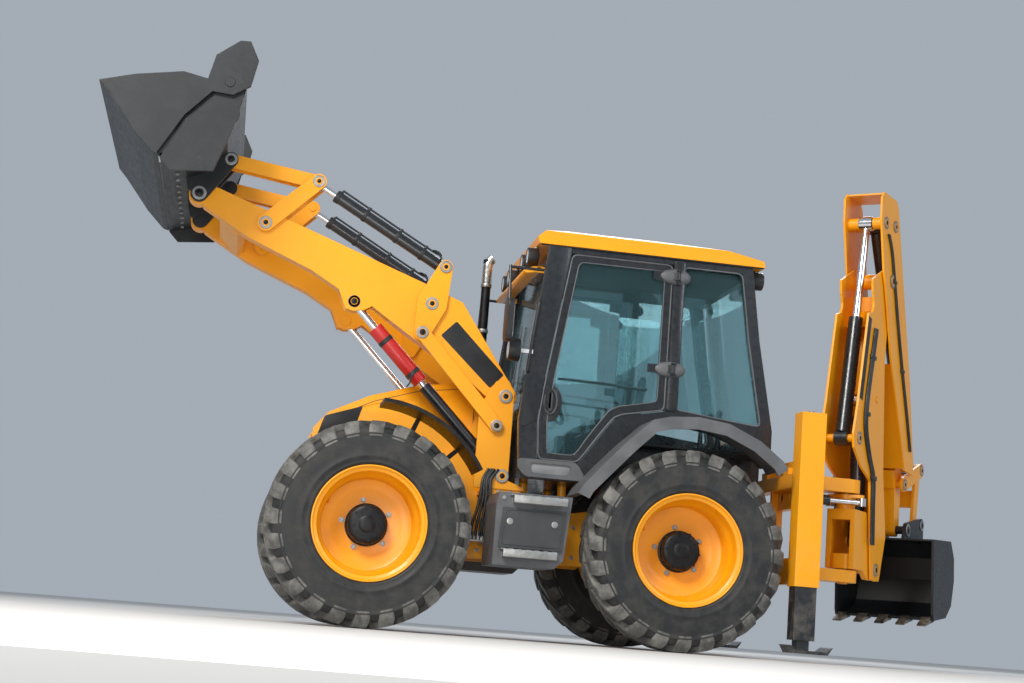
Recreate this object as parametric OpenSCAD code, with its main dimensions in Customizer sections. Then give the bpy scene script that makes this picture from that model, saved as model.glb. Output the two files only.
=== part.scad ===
/* [Machine] */
// Distance between the two axles
wheelbase = 2220; // [2150:10:2300]
// Distance from the rear axle forward to the model's origin
origin_ahead = 822; // [700:10:1000]
// Distance from the middle of the machine to the middle of a tyre
wheel_half_track = 940; // [930:5:960]
// Distance from the middle of the machine to a kingpin
kingpin_half_track = 600; // [590:5:610]

/* [Wheels] */
// Outer radius of a tyre over its lugs
tyre_r = 705; // [690:1:712]
// Width of a tyre
tyre_w = 440; // [420:5:445]
// Height of a tread lug
lug_h = 42; // [20:1:55]
// Number of lugs on each half of the tread
lug_count = 24; // [14:1:28]
// Radius of the rim's flange
rim_flange_r = 395; // [380:1:405]
// Radius of the rim where the tyre's bead sits
rim_seat_r = 362; // [350:1:370]
// Thickness of the rim's steel
rim_wall = 12; // [8:1:16]
// Radius of the planetary hub in the middle of a wheel
hub_r = 142; // [120:1:160]

/* [Frame] */
// Distance from the middle to the outer face of a chassis rail
rail_half = 330; // [300:5:340]
// Thickness of a chassis rail
rail_t = 60; // [40:5:80]
// Height of the underside of the rails
rail_low = 560; // [500:10:600]
// Height of the top of the rails
rail_top = 900; // [860:10:940]

/* [Loader] */
// Distance from the middle to the inner face of a loader arm
arm_in = 375; // [370:1:385]
// Width of a loader arm
arm_w = 120; // [110:1:121]
// Space between neighbouring plates of the loader linkage
side_gap = 6; // [4:1:8]
// Thickness of a bellcrank or lever plate
lever_t = 22; // [16:1:26]
// Outer radius of a lift cylinder's barrel
lift_barrel_r = 46; // [38:1:50]
// Radius of a lift cylinder's rod
lift_rod_r = 27; // [22:1:32]
// Outer radius of a shovel cylinder's barrel
shovel_barrel_r = 44; // [38:1:48]
// Radius of a shovel cylinder's rod
shovel_rod_r = 24; // [20:1:30]
// Width of the shovel over its side plates
shovel_w = 2440; // [2350:10:2500]
// Thickness of the shovel's side plates
shovel_side_t = 22; // [16:1:30]

/* [Backhoe] */
// Distance from the rear axle back to the slew axis
slew_behind = 1360; // [1340:5:1380]
// How far the slew axis is shifted to the left at rest
shift_rest = 500; // [450:10:560]
// Angle that the boom is slewed to the right from straight back at rest
slew_rest = 50; // [40:1:60]
// Distance from the boom's middle to the inner face of its side plates
boom_in = 116; // [114:1:120]
// Thickness of a boom side plate
boom_t = 18; // [14:1:20]
// Thickness of a dipper side plate
dipper_t = 16; // [12:1:18]
// Width of the digging bucket
dig_w = 800; // [700:10:810]
// Height of the boom's foot pin
boom_foot_z = 720; // [710:1:740]

/* [Cab] */
// Distance from the middle to the outer face of the cab
cab_half = 720; // [700:5:735]
// Depth of the cab's pillars across the machine
pillar_t = 60; // [45:1:70]
// Thickness of a door
door_t = 36; // [30:1:40]
// Thickness of a pane of glass
glass_t = 6; // [5:1:10]
// Gap between a door and its frame
door_gap = 8; // [6:1:12]
// Height of the roof's top
roof_top = 3007; // [2980:1:3030]

/* [Hidden] */
$fn = 48;
pin_fit = 0.3;
door_hinge = [92, cab_half + 34];
hinge_levels = [1990, 2680];
touch = 0.3;
wheel_z = tyre_r;
front_x = wheelbase;
arm_out = arm_in + arm_w;
arm_mid = arm_in + arm_w / 2;
lever_out = arm_out + side_gap;
lever_inner = arm_in - side_gap - lever_t;
dipper_in = boom_in + boom_t + side_gap;
dipper_out = dipper_in + dipper_t;
rim_disc_y = -60;
levelling_in = lever_out + lever_t + side_gap;
bonnet_half = 318;
bonnet_low = rail_top + touch;
spindle_r = 62;
stack_at = [1365, -262];
stack_low = 1896;
stack_h = 1000;
cab_floor_z = 1140;
box_out = 1160;
box_in = 600;

// Pins of the loader linkage in side view, as [forward from the rear axle, up]
pivot_a = [1265, 1734];
parallel_step = [55, -222];
pivot_b = [1858, 2360];
pivot_c = pivot_b + parallel_step;
pivot_d = pivot_a + parallel_step;
pivot_e = [1779, 2641];
pivot_f = [2756, 3172];
pivot_g = [3109, 2824];
pivot_h = [3400, 3260];
shovel_pin = [3600, 2985];
lift_top = [2421, 2322];
lift_base = [1248, 1155];
clam_pin = [3448, 3618];

// Pins of the backhoe in its own plane, as [out from the slew axis, up]
boom_foot = [340, boom_foot_z];
boom_head = [400, 2960];
boom_ram_base = [260, 930];
boom_ram_pin = [215, 2000];
dipper_ram_base = [-140, 1660];
dipper_ram_pin = [200, 3380];
crowd_base = [420, 3400];
lever_pivot = [1000, 1440];
lever_end = [1420, 1600];
link_pin = [1370, 1150];
nose_pin = [1020, 1080];

function unit2(v) = v / norm(v);
function along(p, q, d) = p + unit2(q - p) * d;
function heading(p, q) = atan2(q[1] - p[1], q[0] - p[0]);

// Places a model measured from the rear axle into the machine's own frame
module at_frame() {
    translate([-origin_ahead, 0, 0])
        children();
}

// Extrudes a side view, forward and up, between two distances to the left
module slab(y0, y1) {
    rotate([90, 0, 0])
        translate([0, 0, -y1])
            linear_extrude(y1 - y0)
                children();
}

// The same side view on both sides of the machine
module both_slabs(y0, y1) {
    slab(y0, y1)
        children();
    slab(-y1, -y0)
        children();
}

// Round bar across the machine at a point of the side view
module cross_bar(p, r, y0, y1) {
    slab(y0, y1)
        translate(p)
            circle(r);
}

module both_bars(p, r, y0, y1) {
    cross_bar(p, r, y0, y1);
    cross_bar(p, r, -y1, -y0);
}

// Flat strap round two pins, with straight tangent sides
module strap(p, rp, q, rq) {
    d = norm(q - p);
    base = heading(p, q);
    lean = acos((rp - rq) / d);
    dir_a = [cos(base + lean), sin(base + lean)];
    dir_b = [cos(base - lean), sin(base - lean)];
    translate(p)
        circle(rp);
    translate(q)
        circle(rq);
    polygon([p + dir_a * rp, q + dir_a * rq, q + dir_b * rq, p + dir_b * rp]);
}

// Straight rod in the plane of a side view, from one distance along p to q to another
module ram_bar(p, q, from, to, r, y) {
    translate([p[0], y, p[1]])
        rotate([0, 90 - heading(p, q), 0])
            translate([0, 0, from])
                cylinder(r = r, h = to - from);
}

module ram_sleeve(p, q, from, to, r, bore, y) {
    translate([p[0], y, p[1]])
        rotate([0, 90 - heading(p, q), 0])
            translate([0, 0, from])
                difference() {
                    cylinder(r = r, h = to - from);
                    translate([0, 0, -1])
                        cylinder(r = bore, h = to - from + 2);
                }
}

// Wheels

// Angled lugs on one half of the tread, each a flat-topped bar from the middle to the shoulder
module tread_lugs() {
    pitch = 360 / lug_count;
    top = sqrt(tyre_r * tyre_r - lug_reach * lug_reach);
    for (turn = [0:pitch:359])
        rotate([0, turn, 0])
            translate([0, 0, tyre_r - lug_h - lug_root])
                linear_extrude(top - tyre_r + lug_h + lug_root)
                    polygon([[-lug_reach, 6], [-lug_reach + 44, 6], [lug_reach - 8, tyre_w / 2 - lug_inset],
                        [lug_reach - 66, tyre_w / 2 - lug_inset]]);
}

lug_reach = 72;
lug_root = 18;
lug_inset = 50;

module tyre_body() {
    tread_r = tyre_r - lug_h;
    side_y = tyre_w / 2;
    rotate([-90, 0, 0])
        rotate_extrude($fn = 48)
            polygon([
                [rim_seat_r, -side_y + 55], [rim_flange_r + 12, -side_y + 20],
                [(rim_flange_r + tread_r) / 2, -side_y], [tread_r - 48, -side_y + 12],
                [tread_r - 6, -side_y + 52], [tread_r, 0], [tread_r - 6, side_y - 52],
                [tread_r - 48, side_y - 12], [(rim_flange_r + tread_r) / 2, side_y],
                [rim_flange_r + 12, side_y - 20], [rim_seat_r, side_y - 55]]);
    tread_lugs();
    rotate([0, 180 / lug_count, 0])
        mirror([0, 1, 0])
            tread_lugs();
}

module rim_body() {
    half = tyre_w / 2;
    well_r = rim_seat_r - 30;
    rotate([-90, 0, 0])
        rotate_extrude($fn = 96)
            polygon([
                [rim_flange_r, half - 12], [rim_flange_r, half - 26], [rim_seat_r - touch, half - 40],
                [rim_seat_r - touch, 90], [well_r, 60], [well_r, -60],
                [rim_seat_r - touch, -90], [rim_seat_r - touch, 40 - half],
                [rim_flange_r, 26 - half], [rim_flange_r, 12 - half],
                [rim_flange_r - rim_wall, 12 - half], [rim_seat_r - rim_wall, 30 - half],
                [rim_seat_r - rim_wall, -94], [well_r - rim_wall, -64],
                [well_r - rim_wall, rim_disc_y - rim_wall / 2], [240, rim_disc_y - rim_wall],
                [210, rim_disc_y - 2 * rim_wall],
                [hub_r - 10, rim_disc_y - 2 * rim_wall], [hub_r - 10, rim_disc_y - rim_wall],
                [205, rim_disc_y - rim_wall], [235, rim_disc_y], [well_r - rim_wall, rim_disc_y + rim_wall],
                [well_r - rim_wall, 64], [rim_seat_r - rim_wall, 94],
                [rim_seat_r - rim_wall, half - 30], [rim_flange_r - rim_wall, half - 12]]);
}

// Planetary hub end that turns with the wheel, seen in the middle of the rim
module hub_end() {
    rotate([-90, 0, 0])
        rotate_extrude($fn = 64)
            polygon([
                [spindle_r + touch, rim_disc_y - 40], [hub_r - 10, rim_disc_y - 40], [hub_r - 10, rim_disc_y - 2 * rim_wall],
                [hub_r, rim_disc_y - 2 * rim_wall], [hub_r, rim_disc_y + 70],
                [hub_r - 14, rim_disc_y + 92], [60, rim_disc_y + 100], [0, rim_disc_y + 100],
                [0, rim_disc_y + 80], [spindle_r + touch, rim_disc_y + 80]]);
}

module wheel_tyre(axle_x, side) {
    at_frame()
        color("dimgray")
            translate([axle_x, side * wheel_half_track, wheel_z])
                mirror([0, side < 0 ? 1 : 0, 0])
                    tyre_body();
}

module wheel_rim(axle_x, side) {
    at_frame()
        color("orange")
            translate([axle_x, side * wheel_half_track, wheel_z])
                mirror([0, side < 0 ? 1 : 0, 0]) {
                    rim_body();
                    hub_end();
                }
}

module tyre_front_left() {
    wheel_tyre(front_x, 1);
}

module tyre_front_right() {
    wheel_tyre(front_x, -1);
}

module tyre_rear_left() {
    wheel_tyre(0, 1);
}

module tyre_rear_right() {
    wheel_tyre(0, -1);
}

module rim_front_left() {
    wheel_rim(front_x, 1);
}

module rim_front_right() {
    wheel_rim(front_x, -1);
}

module rim_rear_left() {
    wheel_rim(0, 1);
}

module rim_rear_right() {
    wheel_rim(0, -1);
}

// Axles and knuckles

yoke_gap = 250;
yoke_t = 46;
kingpin_r = 34;
knuckle_gap = touch;

module one_axle() {
    // Centre casing with the differential and its trunnions
    rotate([-90, 0, 0])
        rotate_extrude($fn = 64)
            polygon([[0, -230], [115, -230], [168, -110], [180, 0], [168, 110], [115, 230], [0, 230]]);
    translate([-10, 0, 0])
        cube([540, 150, 150], center = true);
    for (side = [-1, 1]) {
        translate([0, side * 340, 0])
            cube([150, 260, 130], center = true);
        // Yoke round the knuckle, with its upper and lower ears
        for (level = [-1, 1]) {
            translate([0, side * kingpin_half_track, level * (yoke_gap / 2 + yoke_t / 2)])
                cylinder(r = 74, h = yoke_t, center = true);
            translate([0, side * (kingpin_half_track - 75), level * (yoke_gap / 2 + yoke_t / 2)])
                cube([138, 150, yoke_t], center = true);
            translate([0, side * kingpin_half_track, level * (yoke_gap / 2 - 12)])
                cylinder(r = kingpin_r, h = 26, center = true);
        }
        translate([0, side * (kingpin_half_track - 130), 0])
            cube([150, 56, yoke_gap + 2 * yoke_t + 8], center = true);
    }
    // Steering cylinder across the casing
    translate([-224, 0, 0])
        rotate([-90, 0, 0])
            rotate_extrude()
                polygon([[0, -350], [20, -350], [20, -230], [45, -230], [45, 230], [20, 230],
                    [20, 350], [0, 350]]);
    for (side = [-1, 1])
        translate([-110, side * 160, 0])
            cube([190, 60, 60], center = true);
}

module axles() {
    at_frame()
        color("black")
            for (axle_x = [0, front_x])
                translate([axle_x, 0, wheel_z])
                    one_axle();
}

module knuckle_body() {
    half = yoke_gap / 2 - knuckle_gap;
    bore_r = kingpin_r + pin_fit;
    difference() {
        union() {
            translate([0, kingpin_half_track, 0])
                cylinder(r = 70, h = 2 * half, center = true);
            translate([0, kingpin_half_track, 0])
                rotate([-90, 0, 0])
                    cylinder(r = 96, h = 150);
            translate([0, kingpin_half_track + 90, 0])
                rotate([-90, 0, 0])
                    cylinder(r = hub_r - 14, h = 144);
            // Spindle that the wheel's hub turns on
            translate([0, kingpin_half_track + 90, 0])
                rotate([-90, 0, 0])
                    cylinder(r = spindle_r, h = wheel_half_track - kingpin_half_track - 75);
        }
        for (level = [-1, 1])
            translate([0, kingpin_half_track, level * (half - 12)])
                cylinder(r = bore_r, h = 30, center = true);
    }
}

mudguard_r = 832;
mudguard_t = 26;

// Curved mudguard over the rear half of a front wheel, with its two stays
module mudguard() {
    y_in = wheel_half_track - tyre_w / 2 + 25;
    rotate([90, 0, 0])
        translate([0, 0, -(wheel_half_track + tyre_w / 2 - 20)])
            rotate([0, 0, 92])
                rotate_extrude(angle = 58, $fn = 96)
                    translate([mudguard_r, 0])
                        square([mudguard_t, tyre_w - 45]);
    // Stays bent round the tyre's inner side
    for (lean = [112, 136]) {
        tip = [cos(lean), sin(lean)] * (mudguard_r + 8);
        foot = [cos(lean), sin(lean)] * 60;
        slab(y_in - 60, y_in - 32)
            strap(foot, 22, tip, 16);
        slab(y_in - 60, y_in + 30)
            translate(tip)
                circle(16);
    }
    slab(kingpin_half_track + 40, y_in - 32)
        circle(90);
}

module one_knuckle(axle_x, side, guard) {
    at_frame()
        color("black")
            translate([axle_x, 0, wheel_z])
                mirror([0, side < 0 ? 1 : 0, 0]) {
                    knuckle_body();
                    if (guard)
                        mudguard();
                }
}

module knuckle_front_left() {
    one_knuckle(front_x, 1, true);
}

module knuckle_front_right() {
    one_knuckle(front_x, -1, true);
}

module knuckle_rear_left() {
    one_knuckle(0, 1, false);
}

module knuckle_rear_right() {
    one_knuckle(0, -1, false);
}

// Chassis

tower_out = arm_in - side_gap;
nose_x = 2740;
frame_rear = -895;
lower_beam_front = -845;
rail_rear = lower_beam_front + touch;
tower_in = rail_half - 5;
tower_plate_in = arm_out + side_gap;
tower_plate_out = tower_plate_in + 20;
engine_low = rail_top;

// Side view of a loader tower, from the rail up to the arm's pivot
module tower_outline() {
    difference() {
        polygon([[1080, rail_top - 60], [1080, 1080], [1203, 1125], [1203, 1780], [1250, 1840],
            [1340, 1840], [1420, 1700], [1480, 1480], [1700, 1130], [1980, rail_top + 60],
            [1980, rail_top - 60]]);
        translate([1560, 1010])
            circle(60);
    }
}

module chassis() {
    at_frame()
        color("orange") {
            both_slabs(rail_half - rail_t, rail_half)
                polygon([[rail_rear, rail_low + 60], [rail_rear, rail_top - 60], [-500, rail_top + 80],
                    [500, rail_top + 80], [900, rail_top], [nose_x - 60, rail_top],
                    [nose_x, rail_top - 80], [nose_x, rail_low + 120], [nose_x - 200, rail_low + 60],
                    [2520, rail_low + 220], [1960, rail_low + 220], [1800, rail_low],
                    [500, rail_low], [300, rail_low + 220], [-300, rail_low + 220], [-500, rail_low + 40]]);
            // Cross members tie the rails together
            for (member = [[-770, 640, 760], [-430, 820, 900], [620, 620, 740], [1500, 600, 720],
                    [1560, 820, engine_low - touch], [1960, 850, engine_low - touch]])
                translate([member[0] - 50, -rail_half + 10, member[1]])
                    cube([100, 2 * rail_half - 20, member[2] - member[1]]);
            // Axle saddles
            for (axle_x = [0, front_x])
                for (end = [-1, 1])
                    translate([axle_x + end * 215 - 25, -rail_half + 10, wheel_z + 75 + touch])
                        cube([50, 2 * rail_half - 20, 100]);
            // Nose casting
            translate([nose_x - 120, -rail_half + 10, rail_low + 130])
                cube([120, 2 * rail_half - 20, rail_top - rail_low - 160]);
            // Loader towers inside and outside each arm
            both_slabs(tower_in, tower_out)
                tower_outline();
            both_slabs(tower_plate_in, tower_plate_out)
                intersection() {
                    tower_outline();
                    polygon([[1000, 1060], [1000, 2000], [1450, 2000], [1450, 1060]]);
                }
            // Shelf that carries the outer tower plates
            both_slabs(tower_out - 10, tower_plate_in + 10)
                polygon([[1100, 1010], [1100, 1085], [1330, 1070], [1400, 1040], [1400, 1010]]);
            // Pins of the loader's arm, levelling link and lift cylinder
            both_bars(pivot_a, 30 - pin_fit, tower_out - 5, tower_plate_out + 12);
            both_bars(pivot_a, 46, tower_plate_out - 1, tower_plate_out + 6);
            both_bars(pivot_d, 24, tower_plate_out - 5, levelling_in + lever_t + 8);
            both_bars(lift_base, 30, tower_out - 5, tower_plate_out + 12);
            both_bars(lift_base, 46, tower_plate_out - 1, tower_plate_out + 6);
            // Cowl between the bonnet and the cab
            slab(-bonnet_half, bonnet_half)
                polygon([[1200, rail_top - 20], [1200, 1860], [1235, 1895], [1420, 1868],
                    [1420, rail_top - 20]]);
            translate([stack_at[0], stack_at[1], 1850])
                cylinder(r = 44, h = stack_low - 1850);
            // Posts under the cab
            for (side = [-1, 1])
                for (post_x = [-450, 760, 1050])
                    translate([post_x, side * 295, rail_top - 20])
                        cylinder(r = 32, h = cab_floor_z - touch - rail_top + 20);
            // Brackets of the step boxes
            for (side = [-1, 1])
                for (bracket_x = [920, 1180])
                    translate([bracket_x, side > 0 ? rail_half - 5 : touch - box_in, 760])
                        cube([60, box_in - touch - rail_half + 5, 60]);
        }
}

module engine() {
    at_frame()
        color("gray") {
            translate([1470, -230, engine_low])
                cube([900, 460, 620]);
            // Stack that rises between the bonnet and the cab
            translate([stack_at[0], stack_at[1], stack_low + touch])
                difference() {
                    cylinder(r = 36, h = stack_h);
                    translate([0, 0, stack_h - 230])
                        cylinder(r = 32, h = 400);
                }
        }
}

// Bonnet

bonnet_t = 14;
bonnet_rear = 1434;
bonnet_hinge = [1430, 1870];

module bonnet_side(inset) {
    polygon([[bonnet_rear, bonnet_low], [bonnet_rear, 1862 - inset], [1886, 1790 - inset],
        [2227, 1676 - inset], [2524 - inset, 1522 - inset], [2620 - inset, 1400],
        [2650 - inset, bonnet_low]]);
}

module bonnet_front(inset) {
    half = bonnet_half - inset;
    polygon([[-half, 0], [-half, 1560], [-half + 60, 1740], [-half + 130, 1900], [half - 130, 1900],
        [half - 60, 1740], [half, 1560], [half, 0]]);
}

module bonnet_solid(inset) {
    intersection() {
        slab(-bonnet_half + inset, bonnet_half - inset)
            bonnet_side(inset);
        translate([1000, 0, 0])
            rotate([90, 0, 90])
                linear_extrude(2000)
                    bonnet_front(inset);
    }
}

module bonnet() {
    at_frame()
        color("orange")
            union() {
                difference() {
                    bonnet_solid(0);
                    translate([-1, 0, -1])
                        bonnet_solid(bonnet_t);
                    // Opening for the nose panel
                    translate([2400, -250, 1010])
                        cube([400, 500, 440]);
                }
                // Hinge barrels at the top of the rear edge
                both_bars(bonnet_hinge, 9, 120, 180);
                both_slabs(124, 176)
                    polygon([bonnet_hinge, bonnet_hinge + [4, 8], [1470, 1866], [1470, 1850]]);
            }
}

// Depth of the grille's slots at a height
function grille_x(z) = 2618 - (z - 1012) * 0.0773;

module grille() {
    at_frame()
        color("black") {
            difference() {
                slab(-250 + touch, 250 - touch)
                    polygon([[2560, 1012], [2560, 1448], [2588, 1448], [2606, 1400], [2636, 1012]]);
                // Slots between the bars
                for (low = [1040:46:1360])
                    slab(-226, 226)
                        polygon([[2700, low], [grille_x(low), low], [grille_x(low + 24), low + 24],
                            [2700, low + 24]]);
            }
        }
}

// Cab

// Outer line of a rear fender, and the same line one sheet further in
fender_line = [[802, 1035], [772, 1092], [625, 1262], [470, 1430], [300, 1592], [180, 1624],
    [-28, 1640], [-250, 1612], [-480, 1512], [-656, 1382], [-690, 1330]];
fender_inner = [[-664, 1318], [-634, 1364], [-468, 1486], [-246, 1583], [-28, 1611], [176, 1595],
    [284, 1566], [448, 1410], [603, 1242], [748, 1078], [775, 1024]];

module cab_side_outline() {
    polygon([[1165, 1200], [1190, 1560], [1150, 1900], [1010, 2850], [-480, 2850], [-560, 2300],
        [-690, 1640], [-690, 1400], [-634, 1364], [-468, 1486], [-246, 1583], [-28, 1611], [176, 1595],
        [284, 1566], [448, 1410], [603, 1242], [690, 1144], [1120, 1144]]);
}

module door_outline(grow) {
    polygon([[1030 + grow, 1285 - grow], [1048 + grow, 1560], [1010 + grow, 1900],
        [880 + grow, 2795 + grow], [130 - grow, 2795 + grow], [130 - grow, 1720 - grow],
        [440 - grow, 1660 - grow], [500 - grow, 1630 - grow], [620 - grow, 1465 - grow],
        [700 - grow, 1345 - grow], [745 - grow, 1285 - grow]]);
}

module door_window(inset) {
    polygon([[970 - inset, 1330 + inset], [985 - inset, 1560], [950 - inset, 1900],
        [828 - inset, 2745 - inset], [185 + inset, 2745 - inset], [185 + inset, 1775 + inset],
        [470, 1715 + inset], [535 + inset, 1680 + inset], [668 + inset, 1490 + inset],
        [768 + inset, 1330 + inset]]);
}

module rear_side_window(inset) {
    polygon([[45 - inset, 2790 - inset], [45 - inset, 1730 + inset], [-60, 1720 + inset],
        [-420, 1680 + inset], [-600 + inset, 1664 + inset], [-476 + inset, 2300],
        [-402 + inset, 2790 - inset]]);
}

module cab_frame() {
    in_y = cab_half - pillar_t;
    at_frame()
        color("black") {
            both_slabs(in_y, cab_half)
                difference() {
                    cab_side_outline();
                    door_outline(door_gap);
                    rear_side_window(0);
                }
            // Floor, stepped in between the rear wheels
            translate([620, -in_y - 5, cab_floor_z])
                cube([545, 2 * in_y + 10, 30]);
            translate([-600, -455, cab_floor_z])
                cube([1230, 910, 30]);
            for (side = [-1, 1]) {
                translate([-640, side * 447 - 8, cab_floor_z])
                    cube([1270, 16, 330]);
                translate([-640, side * 560 - 120, 1455])
                    cube([1130, 240, 16]);
                translate([614, side * 560 - 120, cab_floor_z])
                    cube([16, 240, 90]);
            }
            // Front wall and header, rear wall and header
            translate([1100, -in_y - 5, cab_floor_z])
                cube([60, 2 * in_y + 10, 420]);
            translate([960, -in_y - 5, 2770])
                cube([50, 2 * in_y + 10, 80]);
            translate([-500, -in_y - 5, 2770])
                cube([50, 2 * in_y + 10, 80]);
            translate([-690, -455, cab_floor_z])
                cube([50, 910, 500]);
            translate([-690, -in_y - 5, 1560])
                cube([50, 2 * in_y + 10, 80]);
            // Steering column, console and control tower
            translate([1010, -110, cab_floor_z + 25])
                cube([100, 220, 560]);
            translate([1060, 0, 1690])
                rotate([0, -62, 0])
                    cylinder(r = 26, h = 250);
            translate([835, 0, 1809])
                rotate([0, -62, 0]) {
                    rotate_extrude($fn = 48)
                        translate([190, 0])
                            circle(15, $fn = 24);
                    for (turn = [0:120:240])
                        rotate([0, 0, turn])
                            translate([0, -14, -8])
                                cube([190, 28, 16]);
                    cylinder(r = 45, h = 40, center = true);
                }
            translate([200, -470, cab_floor_z + 25])
                cube([500, 130, 420]);
            for (lever = [[300, -405], [380, -405], [-420, 250], [-420, -250]])
                translate([lever[0], lever[1], cab_floor_z + 25]) {
                    cylinder(r1 = 38, r2 = 16, h = 560, $fn = 32);
                    translate([0, 0, 560])
                        cylinder(r = 24, h = 70);
                }
            // Hinge pins of the doors, each held by two small ears
            for (side = [-1, 1])
                for (level = hinge_levels) {
                    translate([door_hinge[0], side * door_hinge[1], level - 16])
                        cylinder(r = 8, h = 92);
                    for (ear = [-16, 64])
                        translate([door_hinge[0] - 24, side > 0 ? cab_half - 5 : -door_hinge[1] - 14,
                                level + ear])
                            cube([38, door_hinge[1] + 14 - cab_half + 5, 12]);
                }
            // Mirrors on bent arms at the front pillars
            for (side = [-1, 1]) {
                translate([1010, side * (cab_half - 20), 2660])
                    rotate([0, 90, 0])
                        cylinder(r = 11, h = 330);
                translate([1330, side * (cab_half - 20), 2671])
                    rotate([side * -14, 180, 0])
                        cylinder(r = 11, h = 400);
                translate([1320, side * (cab_half + 75), 2090])
                    cube([40, 170, 290]);
            }
        }
}

roof_low = 2850 + touch;

module roof_outline() {
    polygon([[1135, roof_low], [1150, 2900], [1080, 2965], [900, roof_top - 8], [600, roof_top],
        [200, roof_top - 8], [-300, 2960], [-560, 2895], [-570, roof_low]]);
}

module roof() {
    at_frame()
        color("orange")
            intersection() {
                slab(-cab_half - 20, cab_half + 20)
                    roof_outline();
                rotate([90, 0, 90])
                    translate([0, 0, -700])
                        linear_extrude(2000)
                            polygon([[-740, roof_low], [-740, 2900], [-690, 2960], [-560, 3000], [0, 3040],
                                [560, 3000], [690, 2960], [740, 2900], [740, roof_low]]);
            }
}

module cab_glass() {
    mid = cab_half - pillar_t / 2;
    in_y = cab_half - pillar_t;
    at_frame()
        color([0.4, 0.7, 0.7, 0.5]) {
            both_slabs(mid - glass_t / 2, mid + glass_t / 2)
                rear_side_window(touch);
            // Windscreen, leaning back to the header
            slab(-in_y + 5 + touch, in_y - 5 - touch)
                polygon([[1128, 1560 + touch], [1128 + glass_t, 1560 + touch],
                    [1010 + touch + glass_t, 2850 - touch], [1010 + touch, 2850 - touch]]);
            // Rear window
            slab(-in_y + 5 + touch, in_y - 5 - touch)
                polygon([[-650, 1640 + touch], [-650 - glass_t, 1640 + touch],
                    [-500 - touch - glass_t, 2850 - touch], [-500 - touch, 2850 - touch]]);
        }
}

door_in = cab_half - door_t - 2;
door_out = cab_half - 2;

module one_door() {
    slab(door_in, door_out)
        difference() {
            door_outline(0);
            door_window(0);
        }
    // Hinge arms reach back to the pillar's pins
    for (level = hinge_levels) {
        translate([door_hinge[0], door_hinge[1], level])
            difference() {
                union() {
                    cylinder(r = 17, h = 60);
                    linear_extrude(60)
                        polygon([[0, -15], [0, 15], [16, 13], [60, -12], [180, -22], [180, -44], [42, -44],
                            [42, -28], [18, -27]]);
                }
                translate([0, 0, -1])
                    cylinder(r = 8 + pin_fit, h = 62);
            }
    }
    // Handle
    translate([968, door_out - 4, 1650])
        cube([44, 22, 150]);
}

module door_left() {
    at_frame()
        color("black")
            one_door();
}

module door_right() {
    at_frame()
        color("black")
            mirror([0, 1, 0])
                one_door();
}

module door_pane() {
    mid = (door_in + door_out) / 2;
    slab(mid - glass_t / 2, mid + glass_t / 2)
        door_window(touch);
}

module door_glass_left() {
    at_frame()
        color([0.4, 0.7, 0.7, 0.5])
            door_pane();
}

module door_glass_right() {
    at_frame()
        color([0.4, 0.7, 0.7, 0.5])
            mirror([0, 1, 0])
                door_pane();
}

module seat() {
    at_frame()
        color("dimgray") {
            translate([120, -250, cab_floor_z + 30 + touch])
                cube([420, 500, 230]);
            translate([80, -260, cab_floor_z + 260])
                cube([520, 520, 130]);
            translate([40, -250, cab_floor_z + 380])
                rotate([0, -8, 0])
                    cube([120, 500, 640]);
        }
}

// Rear fenders, one arch over each rear wheel

fender_skirt = 58;
fender_out = wheel_half_track + tyre_w / 2 - 20;

module rear_fenders() {
    at_frame()
        color("gray")
            union() {
                both_slabs(cab_half + touch, fender_out)
                    polygon(concat(fender_line, fender_inner));
                both_slabs(fender_out - 20, fender_out)
                    polygon(concat(fender_line, [for (p = fender_inner) p + unit2([0, wheel_z] - p) * fender_skirt]));
            }
}

// Boxes under the cab

box_rear = 870;
box_front = 1360;

module box_outline() {
    polygon([[box_rear, 560], [box_rear - 40, 1000], [box_front - 20, 1000], [box_front, 930],
        [box_front, 500], [box_rear + 60, 500]]);
}

module treads(y0, y1) {
    // Perforated treads in front of the box, low and high
    for (level = [[930, 1300, 560], [880, 1250, 930]])
        translate([level[0], y0, level[2]])
            difference() {
                cube([level[1] - level[0], y1 - y0, 46]);
                for (slot = [30:60:level[1] - level[0] - 40])
                    translate([slot, 15, -1])
                        cube([30, y1 - y0 - 30, 50]);
            }
}

module toolbox() {
    at_frame()
        color("dimgray") {
            difference() {
                slab(box_in, box_out - 60)
                    box_outline();
                slab(box_in + 15, box_out)
                    polygon([[box_rear + 50, 640], [box_rear + 30, 880], [box_front - 70, 880],
                        [box_front - 50, 640]]);
            }
            treads(box_out - 60, box_out + 20);
        }
}

module toolbox_door() {
    at_frame()
        color("dimgray")
            union() {
                slab(box_out - 60 + touch, box_out - 42)
                    polygon([[box_rear + 20, 622], [box_rear, 895], [box_front - 50, 895],
                        [box_front - 30, 622]]);
                for (hinge_x = [box_rear + 90, box_front - 150])
                    translate([hinge_x, box_out - 41, 622])
                        rotate([0, 90, 0])
                            cylinder(r = 8, h = 60);
            }
}

module fuel_tank() {
    at_frame()
        color("dimgray")
            mirror([0, 1, 0]) {
                slab(box_in, box_out - 60)
                    box_outline();
                treads(box_out - 60, box_out + 20);
            }
}

module lamp_head(p, r, tilt) {
    translate(p)
        rotate([0, 90 + tilt, 0])
            cylinder(r1 = r * 0.7, r2 = r, h = 80);
}

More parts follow.
